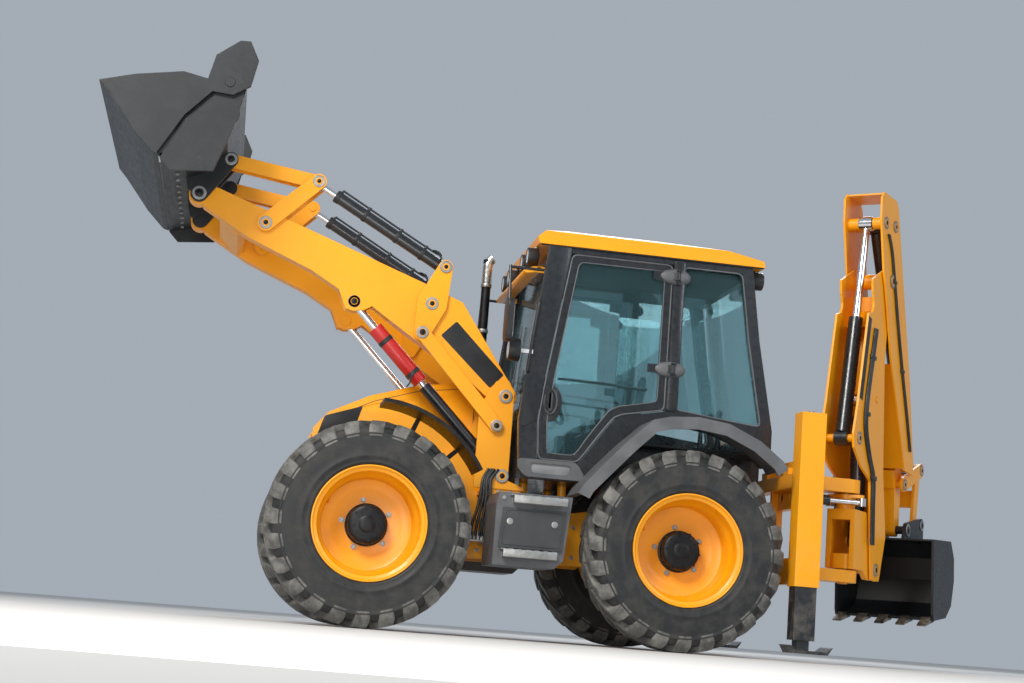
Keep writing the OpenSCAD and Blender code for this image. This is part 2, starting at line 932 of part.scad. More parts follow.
module lamps() {
    at_frame()
        color("silver")
            for (side = [-1, 1]) {
                for (place = [560, 300]) {
                    lamp_head([1110, side * place, 2780], 58, 0);
                    translate([1124, side * place - 15, 2790])
                        cube([20, 30, roof_low - touch - 2790]);
                    translate([-520, side * place, 2790])
                        rotate([0, -90, 0])
                            cylinder(r1 = 42, r2 = 60, h = 80);
                    translate([-560, side * place - 15, 2790])
                        cube([20, 30, roof_low - touch - 2790]);
                }
                lamp_head([1230, side * (cab_half + 30), 2046], 72, 0);
                translate([1128, side * (cab_half + 14 + touch) - 14, 2032])
                    cube([120, 28, 28]);
            }
}

// Rear frame and stabilisers

frame_front = -800;
leg_x = -858;
leg_y = 1085;
housing_x = 180;
housing_y = 160;
housing_wall = 12;
leg_slide = touch;

lower_beam = [600, 700];
upper_beam = [1230, 1330];

module rear_frame() {
    at_frame()
        color("orange") {
            for (beam = [[lower_beam[0], lower_beam[1], lower_beam_front],
                    [upper_beam[0], upper_beam[1], frame_front]])
                translate([frame_rear, -leg_y + 70, beam[0]])
                    cube([beam[2] - frame_rear, 2 * leg_y - 140, beam[1] - beam[0]]);
            for (side = [-1, 1]) {
                translate([leg_x, side * leg_y, 0])
                    difference() {
                        translate([-housing_x / 2, -housing_y / 2, 520])
                            cube([housing_x, housing_y, 1230]);
                        translate([-housing_x / 2 + housing_wall, -housing_y / 2 + housing_wall, 510])
                            cube([housing_x - 2 * housing_wall, housing_y - 2 * housing_wall, 1220]);
                    }
                // Gussets between the beams and the chassis
                translate([frame_rear, side * 300 - 20, lower_beam[1] - 5])
                    cube([lower_beam_front - frame_rear, 40, upper_beam[0] - lower_beam[1] + 10]);
            }
        }
}

module one_stabiliser() {
    inner_x = housing_x - 2 * housing_wall - 2 * leg_slide;
    inner_y = housing_y - 2 * housing_wall - 2 * leg_slide;
    translate([leg_x - inner_x / 2, leg_y - inner_y / 2, 150])
        cube([inner_x, inner_y, 1150]);
    // Foot with its pin ears and a turned-up pad
    translate([leg_x - 45, leg_y - 50, 70])
        cube([90, 100, 90]);
    slab(leg_y - 150, leg_y + 110)
        polygon([[leg_x - 200, 115], [leg_x - 165, 60], [leg_x + 75, 60], [leg_x + 105, 115],
            [leg_x + 68, 82], [leg_x - 158, 82]]);
}

module stabiliser_left() {
    at_frame()
        color("black")
            one_stabiliser();
}

module stabiliser_right() {
    at_frame()
        color("black")
            mirror([0, 1, 0])
                one_stabiliser();
}

// Backhoe

lug_r = 100;
lug_low = [600, 690];
lug_high = [1260, 1360];
lug_spread = 170;
slew_pin_r = 36;
slew_ram_y = 110;
slew_barrel_start = 173;
slew_hub_r = 70;
slew_ram_z = 1190;
slew_barrel_r = 38;
slew_rod_r = 20;

// Carriage frame with the slew axis at its origin and forward along X
module at_post() {
    at_frame()
        translate([-slew_behind, shift_rest, 0])
            children();
}

// The backhoe's own plane: X out from the slew axis
module at_digger() {
    at_post()
        rotate([0, 0, 180 + slew_rest])
            children();
}

module carriage() {
    plate_front = slew_behind + frame_rear - touch;
    plate_rear = plate_front - 60;
    at_post()
        color("orange") {
            difference() {
                translate([plate_rear, -330, 550])
                    cube([60, 660, 900]);
                translate([plate_rear - 1, -250, 740])
                    cube([62, 500, 360]);
                for (side = [-1, 1])
                    translate([plate_rear - 1, side * slew_ram_y, slew_ram_z])
                        rotate([0, 90, 0])
                            cylinder(r = slew_barrel_r + touch, h = 62);
            }
            // Hooks over and under the two beams of the rear frame
            for (side = [-1, 1]) {
                translate([plate_rear, side * 250 - 60, upper_beam[1] + touch])
                    cube([slew_behind + frame_front - plate_rear, 120, 50]);
                translate([plate_rear, side * 250 - 60, lower_beam[0] - touch - 45])
                    cube([slew_behind + lower_beam_front - plate_rear, 120, 45]);
            }
            for (lug = [lug_low, lug_high])
                difference() {
                    translate([0, 0, lug[0]])
                        linear_extrude(lug[1] - lug[0])
                            union() {
                                circle(lug_r);
                                polygon([[0, -lug_r], [plate_rear + 5, -lug_spread],
                                    [plate_rear + 5, lug_spread], [0, lug_r]]);
                            }
                    translate([0, 0, lug[0] - 1])
                        cylinder(r = slew_pin_r + pin_fit, h = lug[1] - lug[0] + 2);
                }
        }
}

cheek_in = 72;
cheek_out = 108;

module kingpost() {
    at_digger()
        color("orange") {
            for (side = [-1, 1])
                slab(side > 0 ? cheek_in : -cheek_out, side > 0 ? cheek_out : -cheek_in)
                    union() {
                        polygon([[-90, 700], [130, 700], [215, 640], [340, 640], [420, 720],
                            [330, 1060], [240, 1090], [150, 1138], [-90, 1138]]);
                        translate(boom_foot)
                            circle(80);
                        translate(boom_ram_base)
                            circle(80);
                    }
            translate([0, 0, 700])
                intersection() {
                    cylinder(r = 100, h = 110);
                    translate([-90, -cheek_out, 0])
                        cube([190, 2 * cheek_out, 200]);
                }
            translate([-90, -cheek_out, 1060])
                cube([180, 2 * cheek_out, 78]);
            translate([0, 0, 1130])
                cylinder(r = slew_hub_r, h = 120);
            translate([0, 0, lug_low[0] - 10])
                cylinder(r = slew_pin_r, h = 120);
            translate([0, 0, 1240])
                cylinder(r = slew_pin_r, h = 130);
            // Crank plate over the eyes of the two slew cylinders
            translate([0, 0, 1226])
                linear_extrude(24)
                    union() {
                        strap([0, 0], slew_hub_r - 8, [0, slew_ram_y], 30);
                        strap([0, 0], slew_hub_r - 8, [0, -slew_ram_y], 30);
                    }
            // Pins of the boom and its cylinder
            cross_bar(boom_foot, 32, -boom_in - boom_t - 8, boom_in + boom_t + 8);
            cross_bar(boom_ram_base, 30, -cheek_out - 4, cheek_out + 4);
        }
}

// Where the eye of a slew cylinder's rod stands at rest, over its end of the crank
slew_eye_x = slew_ram_y * sin(slew_rest);

module slew_barrels() {
    at_post()
        color("black")
            for (side = [-1, 1])
                translate([slew_barrel_start, side * slew_ram_y, slew_ram_z])
                    rotate([0, 90, 0])
                        difference() {
                            cylinder(r = slew_barrel_r, h = 282);
                            translate([0, 0, -1])
                                cylinder(r = slew_rod_r + touch, h = 284);
                        }
}

module one_slew_rod(side) {
    eye_x = -side * slew_eye_x;
    at_post()
        color("silver") {
            translate([eye_x + 20, side * slew_ram_y, slew_ram_z])
                rotate([0, 90, 0])
                    cylinder(r = slew_rod_r, h = 296);
            translate([eye_x, side * slew_ram_y, 1164])
                cylinder(r = 30, h = 58);
        }
}

module slew_rod_left() {
    one_slew_rod(1);
}

module slew_rod_right() {
    one_slew_rod(-1);
}

module boom_outline() {
    difference() {
        union() {
            polygon([[255, 640], [205, 950], [158, 1210], [142, 1372], [-60, 1452], [-240, 1580],
                [-262, 1680], [-190, 1920], [-40, 2625], [40, 2648], [68, 2690], [68, 2730], [36, 2800],
                [20, 2900], [300, 3040], [500, 2960], [400, 2700], [360, 2320],
                [430, 1460], [540, 980], [425, 640]]);
            translate(boom_foot)
                circle(85);
            translate(boom_head)
                circle(100);
            translate(dipper_ram_base)
                circle(90);
        }
        translate(boom_foot)
            circle(32 + pin_fit);
    }
}

module boom() {
    at_digger()
        color("orange") {
            both_slabs(boom_in, boom_in + boom_t)
                boom_outline();
            // Back plate of the box between the side plates
            slab(-boom_in - 1, boom_in + 1)
                polygon([[346, 2320], [386, 2700], [430, 2840], [416, 2846], [372, 2704], [332, 2320],
                    [402, 1460], [416, 1460]]);
            slab(-boom_in - 1, boom_in + 1)
                polygon([[402, 1460], [416, 1460], [526, 980], [512, 980]]);
            slab(-boom_in - 1, boom_in + 1)
                polygon([[160, 2560], [180, 2560], [345, 2700], [360, 2720], [330, 2712]]);
            cross_bar(boom_head, 60, -boom_in - 1, boom_in + 1);
            cross_bar(boom_head, 36, -dipper_out - 12, dipper_out + 12);
            pin_ends(boom_ram_pin, 26, 56, boom_in, boom_in + boom_t, 8);
            cross_bar(dipper_ram_base, 30, -boom_in - boom_t - 8, boom_in + boom_t + 8);
        }
}

module dipper_outline() {
    difference() {
        polygon([[90, 3560], [140, 3610], [430, 3610], [480, 3570], [690, 2930], [920, 2260],
            [1090, 1610], [1100, 1520], [880, 1540], [620, 2040], [450, 2350], [260, 2870],
            [200, 2990], [95, 3380]]);
        translate(boom_head)
            circle(36 + pin_fit);
    }
}

nose_half = 60;
dig_lever_t = 24;
link_side = nose_half + 8;
lever_side = link_side + dig_lever_t + side_gap;
ear_side = lever_side + dig_lever_t + side_gap;

module dipper() {
    at_digger()
        color("orange") {
            both_slabs(dipper_in, dipper_out)
                dipper_outline();
            // Front and inner plates of the box
            slab(-dipper_in - 1, dipper_in + 1)
                polygon([[520, 2330], [538, 2330], [908, 1612], [985, 1612], [975, 1560], [885, 1556]]);
            slab(-dipper_in - 1, dipper_in + 1)
                polygon([[150, 3596], [150, 3609], [430, 3609], [430, 3596]]);
            // Nose that carries the bucket's pin
            slab(-nose_half, nose_half)
                difference() {
                    union() {
                        strap(nose_pin, 54, [1006, 1500], 80);
                        polygon([[890, 1540], [1090, 1540], [1090, 1400], [910, 1400]]);
                    }
                    translate(nose_pin)
                        circle(32 + pin_fit);
                }
            cross_bar(lever_pivot, 28, -lever_side - dig_lever_t - 8, lever_side + dig_lever_t + 8);
            pin_ends(dipper_ram_pin, 30, 56, dipper_in, dipper_out, 8);
            cross_bar(crowd_base, 28, -dipper_out - 10, dipper_out + 10);
        }
}

// Cylinder barrel with an eye round its base pin and an open rod end
module barrel(p, q, length, r, bore, pin_r, eye_half) {
    difference() {
        union() {
            slab(-eye_half, eye_half)
                translate(p)
                    circle(pin_r + 26);
            ram_bar(p, q, pin_r + 12, length, r, 0);
        }
        cross_bar(p, pin_r + pin_fit, -r - 5, r + 5);
        ram_bar(p, q, pin_r + 60, length + 1, bore, 0);
    }
}

// Rod with its eye round the far pin
module rod(p, q, start, r, pin_r, eye_half) {
    far = norm(q - p);
    ram_bar(p, q, start, far - pin_r - 10, r, 0);
    slab(-eye_half, eye_half)
        translate(q)
            circle(pin_r + 26);
}

// Pin ends on both walls round a rod's eye, clear of the eye itself
module pin_ends(p, r, inner, wall_in, wall_out, head) {
    for (side = [-1, 1]) {
        slab(side > 0 ? inner : -wall_in - 1, side > 0 ? wall_in + 1 : -inner)
            translate(p)
                circle(r + 16);
        slab(side > 0 ? wall_out - 1 : -wall_out - head, side > 0 ? wall_out + head : 1 - wall_out)
            translate(p)
                circle(r);
    }
}

module boom_barrel() {
    at_digger()
        color("black")
            barrel(boom_ram_base, boom_ram_pin, 940, 60, 32 + touch, 30, 50);
}

module boom_rod() {
    at_digger()
        color("silver")
            rod(boom_ram_base, boom_ram_pin, 450, 32, 26, 50);
}

module dipper_barrel() {
    at_digger()
        color("black")
            barrel(dipper_ram_base, dipper_ram_pin, 960, 55, 30 + touch, 30, 50);
}

module dipper_rod() {
    at_digger()
        color("silver")
            rod(dipper_ram_base, dipper_ram_pin, 850, 30, 30, 50);
}

module crowd_barrel() {
    at_digger()
        color("black")
            barrel(crowd_base, lever_end, 1400, 50, 28 + touch, 28, 50);
}

module crowd_rod() {
    at_digger()
        color("silver")
            rod(crowd_base, lever_end, 860, 28, 28, 50);
}

module tipping_lever() {
    at_digger()
        color("orange")
            for (side = [-1, 1])
                slab(side > 0 ? lever_side : -lever_side - dig_lever_t,
                        side > 0 ? lever_side + dig_lever_t : -lever_side)
                    difference() {
                        strap(lever_pivot, 58, lever_end, 55);
                        translate(lever_pivot)
                            circle(28 + pin_fit);
                        translate(lever_end)
                            circle(28 + pin_fit);
                    }
}

module tipping_link() {
    at_digger()
        color("orange") {
            for (side = [-1, 1])
                slab(side > 0 ? link_side : -link_side - dig_lever_t,
                        side > 0 ? link_side + dig_lever_t : -link_side)
                    strap(lever_end, 52, link_pin, 50);
            slab(-link_side - 1, link_side + 1)
                polygon([[1374, 1430], [1412, 1430], [1388, 1290], [1352, 1290]]);
            for (side = [-1, 1])
                slab(side > 0 ? link_side + 1 : -lever_side - dig_lever_t - 6,
                        side > 0 ? lever_side + dig_lever_t + 6 : -link_side - 1)
                    translate(lever_end)
                        circle(28);
        }
}

dig_side_t = 20;

module dig_side_outline() {
    polygon([[915, 1010], [1370, 1030], [1468, 900], [1485, 720], [1425, 520], [1290, 420], [985, 385],
        [960, 430]]);
}

module digging_bucket() {
    half = dig_w / 2;
    at_digger()
        color("black") {
            both_slabs(half - dig_side_t, half)
                dig_side_outline();
            // Curved shell, open to the front
            slab(-half + 1, half - 1)
                difference() {
                    dig_side_outline();
                    polygon([[800, 992], [1360, 1010], [1449, 892], [1465, 722], [1409, 534], [1284, 440],
                        [980, 405], [800, 440]]);
                }
            // Hinge ears
            for (side = [-1, 1])
                slab(side > 0 ? ear_side : -ear_side - 26, side > 0 ? ear_side + 26 : -ear_side)
                    union() {
                        strap(nose_pin, 60, link_pin, 54);
                        polygon([[965, 1080], [1420, 1150], [1420, 1000], [940, 1000]]);
                    }
            cross_bar(nose_pin, 32, -ear_side - 34, ear_side + 34);
            pin_ends(link_pin, 26, link_side + dig_lever_t + 5, ear_side, ear_side + 26, 8);
            // Teeth along the cutting edge
            for (tooth = [-2:2])
                translate([0, tooth * (half - 60) / 2, 0])
                    slab(-32, 32)
                        polygon([[1080, 400], [1080, 380], [860, 340], [850, 348], [980, 410]]);
        }
}

// Loader

module arm_outline() {
    difference() {
        union() {
            polygon([[3640, 3040], [3532, 3066], [3163, 2940], [2802, 2818], [1896, 2500], [1629, 2395],
                [1294, 1915], [1188, 1770], [1220, 1660], [1330, 1665], [1585, 1862], [2028, 2130],
                [2290, 2300], [2350, 2262], [2480, 2262], [2540, 2400], [2747, 2516], [3220, 2706],
                [3560, 2900]]);
            translate(pivot_a)
                circle(82);
            translate(shovel_pin)
                circle(75);
            translate(lift_top)
                circle(70);
        }
        translate(pivot_a)
            circle(30);
        translate(shovel_pin)
            circle(32 + pin_fit);
    }
}

ram_slot = lift_barrel_r + 6;

module loader_arms() {
    at_frame()
        color("orange") {
            // Each arm is a box, open below round its lift cylinder
            for (side = [-1, 1])
                difference() {
                    slab(side > 0 ? arm_in : -arm_out, side > 0 ? arm_out : -arm_in)
                        arm_outline();
                    translate([0, side * arm_mid, 0])
                        slab(-30, 30)
                            polygon([[2080, 2000], [2190, 2330], [2390, 2420], [2500, 2420], [2620, 2300],
                                [2620, 2000]]);
                }
            // Cross beam behind the shovel
            slab(-arm_in - 1, arm_in + 1)
                polygon([[3250, 2770], [3300, 2740], [3440, 2850], [3440, 2960], [3380, 2980],
                    [3240, 2900]]);
            // Fixed pins of the bellcranks, levers and lift cylinders
            both_bars(pivot_g, 28, lever_inner - 6, arm_out + side_gap + lever_t + 6);
            both_bars(pivot_b, 28, lever_inner - 6, arm_out + side_gap + lever_t + 6);
            both_bars(lift_top, 42, arm_out - 1, arm_out + 5);
            both_bars(lift_top, 42, arm_in - 5, arm_in + 1);
        }
}

module lever_pair(p, rp, q, rq, hole) {
    for (side = [-1, 1])
        for (face = [lever_inner, arm_out + side_gap])
            slab(side > 0 ? face : -face - lever_t, side > 0 ? face + lever_t : -face)
                difference() {
                    strap(p, rp, q, rq);
                    translate(p)
                        circle(hole);
                }
}

module bellcranks() {
    at_frame()
        color("orange") {
            lever_pair(pivot_g, 62, pivot_f, 56, 28 + pin_fit);
            both_bars(pivot_f, 26, lever_inner - 6, arm_mid - 28);
            both_bars(pivot_f, 26, arm_mid + 28, lever_out + lever_t + 6);
        }
}

link_half = 50;

module loader_links() {
    at_frame()
        color("orange")
            for (side = [-1, 1])
                translate([0, side * arm_mid, 0]) {
                    for (face = [-link_half, link_half - 18])
                        slab(face, face + 18)
                            difference() {
                                strap(pivot_f, 52, pivot_h, 50);
                                translate(pivot_f)
                                    circle(26 + pin_fit);
                            }
                    slab(-link_half + 5, link_half - 5)
                        polygon([[2900, 3225], pivot_h + [-140, 22], pivot_h + [-135, -8], [2905, 3195]]);
                }
}

module lever_plates() {
    at_frame()
        color("orange") {
            for (side = [-1, 1])
                for (face = [lever_inner, arm_out + side_gap])
                    slab(side > 0 ? face : -face - lever_t, side > 0 ? face + lever_t : -face)
                        difference() {
                            union() {
                                strap(pivot_b, 110, pivot_e, 52);
                                strap(pivot_b, 110, pivot_c, 60);
                            }
                            translate(pivot_b)
                                circle(28 + pin_fit);
                        }
            both_bars(pivot_e, 26, lever_inner - 6, arm_out + side_gap + lever_t + 10);
            both_bars(pivot_c, 26, lever_out + 1, levelling_in + lever_t + 8);
        }
}

module levelling_links() {
    at_frame()
        color("orange")
            both_slabs(levelling_in, levelling_in + lever_t)
                difference() {
                    strap(pivot_d, 50, pivot_c, 50);
                    translate(pivot_d)
                        circle(24 + pin_fit);
                    translate(pivot_c)
                        circle(26 + pin_fit);
                }
}

module lift_barrels() {
    at_frame()
        color("black")
            for (side = [-1, 1])
                translate([0, side * arm_mid, 0])
                    barrel(lift_base, lift_top, 860, lift_barrel_r, lift_rod_r + touch, 30, 50);
}

module lift_rods() {
    at_frame()
        color("silver") {
            for (side = [-1, 1])
                translate([0, side * arm_mid, 0])
                    rod(lift_base, lift_top, 660, lift_rod_r, 26, 24);
            // Safety strut fitted round the left rod, over a collar near the eye
            translate([0, arm_mid, 0]) {
                ram_sleeve(lift_base, lift_top, 900, 1410, lift_barrel_r + 7, lift_barrel_r + 2, 0);
                ram_bar(lift_base, lift_top, 1390, 1410, lift_barrel_r + 5, 0);
            }
        }
}

module shovel_barrels() {
    at_frame()
        color("black")
            for (side = [-1, 1])
                translate([0, side * arm_mid, 0])
                    barrel(pivot_e, pivot_f, 960, shovel_barrel_r, shovel_rod_r + touch, 26, 40);
}

module shovel_rods() {
    at_frame()
        color("silver")
            for (side = [-1, 1])
                translate([0, side * arm_mid, 0])
                    rod(pivot_e, pivot_f, 300, shovel_rod_r, 26, 24);
}

shovel_half = shovel_w / 2;

module back_side_outline() {
    polygon([[3330, 3600], pivot_h + [-5, 46], [3500, 2992], [3790, 2962], [3866, 3040], [3705, 3345],
        [3520, 3560]]);
}

module shovel_back() {
    side_y = shovel_half - shovel_side_t - side_gap;
    at_frame()
        color("black") {
            both_slabs(side_y - shovel_side_t, side_y)
                back_side_outline();
            // Curved back plate
            slab(-side_y + 1, side_y - 1)
                polygon([[3330, 3600], [3360, 3600], pivot_h + [60, 70], [3600, 3160], [3800, 3092],
                    [3868, 3070], [3862, 3042], [3700, 3080], [3575, 3130],
                    pivot_h + [30, 50]]);
            // Ears for the arms and the tipping links
            for (side = [-1, 1])
                for (face = [arm_in - side_gap - 26, arm_out + side_gap])
                    slab(side > 0 ? face : -face - 26, side > 0 ? face + 26 : -face)
                        union() {
                            strap(shovel_pin, 62, pivot_h, 52);
                            polygon([shovel_pin, pivot_h, pivot_h + [100, 30], [3700, 3085], [3680, 3000]]);
                        }
            both_bars(shovel_pin, 32, arm_in - side_gap - 32, arm_out + side_gap + 32);
            for (side = [-1, 1])
                translate([0, side * arm_mid, 0])
                    pin_ends(pivot_h, 26, link_half + 5, arm_w / 2 + side_gap, arm_w / 2 + side_gap + 26, 6);
            // Clam hinge stubs
            both_bars(clam_pin, 34, side_y - 40, shovel_half + 4);
            both_slabs(side_y - shovel_side_t, side_y)
                strap(clam_pin, 60, [3420, 3400], 60);
        }
}

module clam_side_outline() {
    difference() {
        polygon([[4320, 3525], [4085, 3595], [3766, 3655], [3600, 3625], [3560, 3800], [3407, 3921],
            [3336, 3925], [3269, 3793], [3304, 3607], [3420, 3530], [3560, 3540], [3730, 3350],
            [3890, 3060], [3929, 3078], [4055, 3202], [4243, 3460]]);
        translate(clam_pin)
            circle(34 + pin_fit);
    }
}

module shovel_clam() {
    at_frame()
        color("dimgray") {
            both_slabs(shovel_half - shovel_side_t, shovel_half)
                clam_side_outline();
            // Floor and cutting edge
            slab(-shovel_half + 1, shovel_half - 1)
                polygon([[3876, 3056], [3915, 3066], [4055, 3202], [4243, 3440], [4320, 3525],
                    [4285, 3515], [4215, 3450], [4035, 3222], [3900, 3092]]);
        }
}

chassis();
engine();
axles();
knuckle_front_left();
knuckle_front_right();
knuckle_rear_left();
knuckle_rear_right();
tyre_front_left();
tyre_front_right();
tyre_rear_left();
tyre_rear_right();
rim_front_left();
rim_front_right();
rim_rear_left();
rim_rear_right();
bonnet();
grille();
cab_frame();
roof();
cab_glass();
door_left();
door_right();
door_glass_left();
door_glass_right();
seat();
rear_fenders();
toolbox();
toolbox_door();
fuel_tank();
lamps();
rear_frame();
stabiliser_left();
stabiliser_right();
carriage();
kingpost();
slew_barrels();
slew_rod_left();
slew_rod_right();
boom();
dipper();
boom_barrel();
boom_rod();
dipper_barrel();
dipper_rod();
crowd_barrel();
crowd_rod();
tipping_lever();
tipping_link();
digging_bucket();
loader_arms();
bellcranks();
loader_links();
lever_plates();
levelling_links();
lift_barrels();
lift_rods();
shovel_barrels();
shovel_rods();
shovel_back();
shovel_clam();
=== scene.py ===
import math

import bmesh
import bpy
from mathutils import Matrix, Vector


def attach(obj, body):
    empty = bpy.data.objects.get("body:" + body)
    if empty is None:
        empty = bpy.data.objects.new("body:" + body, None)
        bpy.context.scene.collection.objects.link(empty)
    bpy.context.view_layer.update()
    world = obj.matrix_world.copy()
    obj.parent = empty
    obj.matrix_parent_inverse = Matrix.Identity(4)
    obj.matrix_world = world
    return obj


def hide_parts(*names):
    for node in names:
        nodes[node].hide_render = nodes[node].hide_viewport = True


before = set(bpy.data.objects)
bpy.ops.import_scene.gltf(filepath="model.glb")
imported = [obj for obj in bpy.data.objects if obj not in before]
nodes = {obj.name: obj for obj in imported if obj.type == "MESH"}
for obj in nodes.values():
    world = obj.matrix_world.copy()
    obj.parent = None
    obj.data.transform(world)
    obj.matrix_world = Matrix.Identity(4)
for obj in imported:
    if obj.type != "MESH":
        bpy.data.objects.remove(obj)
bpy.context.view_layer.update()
scene = bpy.context.scene
print("frame loaded:", len(nodes), "nodes")

# Places below are in millimetres from the rear axle, as forward, left, up
machine = {
    "originAhead": 822.0,
    "wheelbase": 2220.0,
    "wheelTrack": 940.0,
    "wheelRadius": 705.0,
}


def place(x, y, z):
    return Vector(((x - machine["originAhead"]) / 1000, y / 1000, z / 1000))


# The digging arm is drawn in its own plane: out from the slew axis, across, up
digger = {"behind": 1360.0, "shift": 500.0, "slew": 50.0}


def diggerPlace(out, across, high):
    turn = math.radians(180 + digger["slew"])
    x = -digger["behind"] + out * math.cos(turn) - across * math.sin(turn)
    y = digger["shift"] + out * math.sin(turn) + across * math.cos(turn)
    return place(x, y, high)


# Camera at the photograph's angle, close to the floor

camera = {
    "from": (3160.0, 12762.0, 80.0),
    "lens": 60.41, "sensor": 36.0, "farthest": 200.0,
    "yaw": -0.154778472, "pitch": -0.164947480, "roll": 0.0773571848,
}


def makeCamera():
    data = bpy.data.cameras.new("photoCamera")
    data.lens = camera["lens"]
    data.sensor_width = camera["sensor"]
    data.sensor_fit = "HORIZONTAL"
    data.clip_end = camera["farthest"]
    turned = (Matrix.Rotation(camera["roll"], 3, "Z") @ Matrix.Rotation(camera["pitch"], 3, "X")
              @ Matrix.Rotation(camera["yaw"], 3, "Y") @ Matrix(((-1, 0, 0), (0, 0, -1), (0, -1, 0))))
    cam = bpy.data.objects.new("photoCamera", data)
    scene.collection.objects.link(cam)
    flip = Matrix(((1, 0, 0), (0, -1, 0), (0, 0, -1)))
    cam.matrix_world = Matrix.Translation(place(*camera["from"])) @ (turned.transposed() @ flip).to_4x4()
    scene.camera = cam


makeCamera()

# Floor, sky light and lamps

studio = {
    "floor": (0.62, 0.61, 0.59), "floorSize": 90.0, "floorRough": 0.75,
    "sky": (0.74, 0.82, 0.92), "skyStrength": 0.5,
    # Lamps as place, aim (both in metres), size, power, colour
    "lamps": {
        "keyLight": ((6.5, 9.0, 9.5), (0.2, 0, 1.2), 5.0, 1500.0, (1.0, 0.97, 0.92)),
        "fillLight": ((-8.0, 8.0, 6.0), (-0.5, 0, 1.2), 6.0, 300.0, (0.9, 0.95, 1.0)),
        "rimLight": ((-4.0, -9.0, 8.0), (0, 0, 1.5), 6.0, 420.0, (0.95, 0.97, 1.0)),
        "lowLight": ((3.0, 10.0, 1.4), (0.5, 0, 1.0), 4.0, 210.0, (1.0, 0.98, 0.95)),
    },
}


def areaLight(name, at, aim, size, power, colour):
    data = bpy.data.lights.new(name, "AREA")
    data.shape = "DISK"
    data.size = size
    data.energy = power
    data.color = colour
    lamp = bpy.data.objects.new(name, data)
    scene.collection.objects.link(lamp)
    lamp.location = at
    lamp.rotation_euler = (Vector(aim) - Vector(at)).to_track_quat("-Z", "Y").to_euler()


def makeStudio():
    half = studio["floorSize"] / 2
    mesh = bpy.data.meshes.new("floor")
    corners = [(-half, -half, 0), (half, -half, 0), (half, half, 0), (-half, half, 0)]
    mesh.from_pydata(corners, [], [(0, 1, 2, 3)])
    floor = bpy.data.objects.new("floor", mesh)
    scene.collection.objects.link(floor)
    paint = bpy.data.materials.new("floorPaint")
    paint.use_nodes = True
    shader = paint.node_tree.nodes["Principled BSDF"]
    shader.inputs["Base Color"].default_value = (*studio["floor"], 1)
    shader.inputs["Roughness"].default_value = studio["floorRough"]
    mesh.materials.append(paint)
    world = bpy.data.worlds.new("studioSky")
    world.use_nodes = True
    sky = world.node_tree.nodes["Background"]
    sky.inputs["Color"].default_value = (*studio["sky"], 1)
    sky.inputs["Strength"].default_value = studio["skyStrength"]
    scene.world = world
    for name, lamp in studio["lamps"].items():
        areaLight(name, *lamp)


makeStudio()
scene.view_settings.view_transform = "Standard"
print("studio ready")

# Materials


class NodeMaker:
    def __init__(self, name):
        self.material = bpy.data.materials.new(name)
        self.material.use_nodes = True
        self.tree = self.material.node_tree
        self.shader = self.tree.nodes["Principled BSDF"]
        self.coords = self.tree.nodes.new("ShaderNodeTexCoord").outputs["Object"]

    def node(self, kind, **values):
        made = self.tree.nodes.new(kind)
        for key, value in values.items():
            setattr(made, key, value)
        return made

    def link(self, a, b):
        self.tree.links.new(a, b)

    def stretched(self, scale):
        mapping = self.node("ShaderNodeMapping")
        self.link(self.coords, mapping.inputs["Vector"])
        mapping.inputs["Scale"].default_value = scale
        return mapping.outputs["Vector"]

    def noise(self, scale, detail=4.0, rough=0.55, vector=None):
        made = self.node("ShaderNodeTexNoise")
        made.inputs["Scale"].default_value = scale
        made.inputs["Detail"].default_value = detail
        made.inputs["Roughness"].default_value = rough
        self.link(vector or self.coords, made.inputs["Vector"])
        return made.outputs["Fac"]

    def ramp(self, source, low, high, lowTo=0.0, highTo=1.0):
        made = self.node("ShaderNodeMapRange")
        made.clamp = True
        for key, value in (("From Min", low), ("From Max", high), ("To Min", lowTo), ("To Max", highTo)):
            made.inputs[key].default_value = value
        self.link(source, made.inputs["Value"])
        return made.outputs["Result"]

    def math(self, kind, a, b):
        made = self.node("ShaderNodeMath", operation=kind)
        for socket, value in zip(made.inputs, (a, b)):
            if hasattr(value, "links"):
                self.link(value, socket)
            else:
                socket.default_value = value
        return made.outputs[0]

    def mix(self, factor, a, b):
        made = self.node("ShaderNodeMix", data_type="RGBA")
        self.link(factor, made.inputs["Factor"])
        for key, value in (("A", a), ("B", b)):
            socket = [i for i in made.inputs if i.name == key and i.type == "RGBA"][0]
            if hasattr(value, "links"):
                self.link(value, socket)
            else:
                socket.default_value = (*value, 1)
        return [o for o in made.outputs if o.type == "RGBA"][0]

    def height(self):
        split = self.node("ShaderNodeSeparateXYZ")
        self.link(self.coords, split.inputs["Vector"])
        return split.outputs["Z"]

    def bump(self, source, strength, distance=0.002, edge=0.0):
        made = self.node("ShaderNodeBump")
        made.inputs["Strength"].default_value = strength
        made.inputs["Distance"].default_value = distance
        self.link(source, made.inputs["Height"])
        if edge:
            # Cut plates keep a small rounded edge under the paint
            rounded = self.node("ShaderNodeBevel", samples=4)
            rounded.inputs["Radius"].default_value = edge
            self.link(rounded.outputs["Normal"], made.inputs["Normal"])
        self.link(made.outputs["Normal"], self.shader.inputs["Normal"])

    def colour(self, source):
        self.link(source, self.shader.inputs["Base Color"])

    def roughness(self, source):
        self.link(source, self.shader.inputs["Roughness"])

    def fixed(self, **values):
        for key, value in values.items():
            self.shader.inputs[key.replace("_", " ")].default_value = value


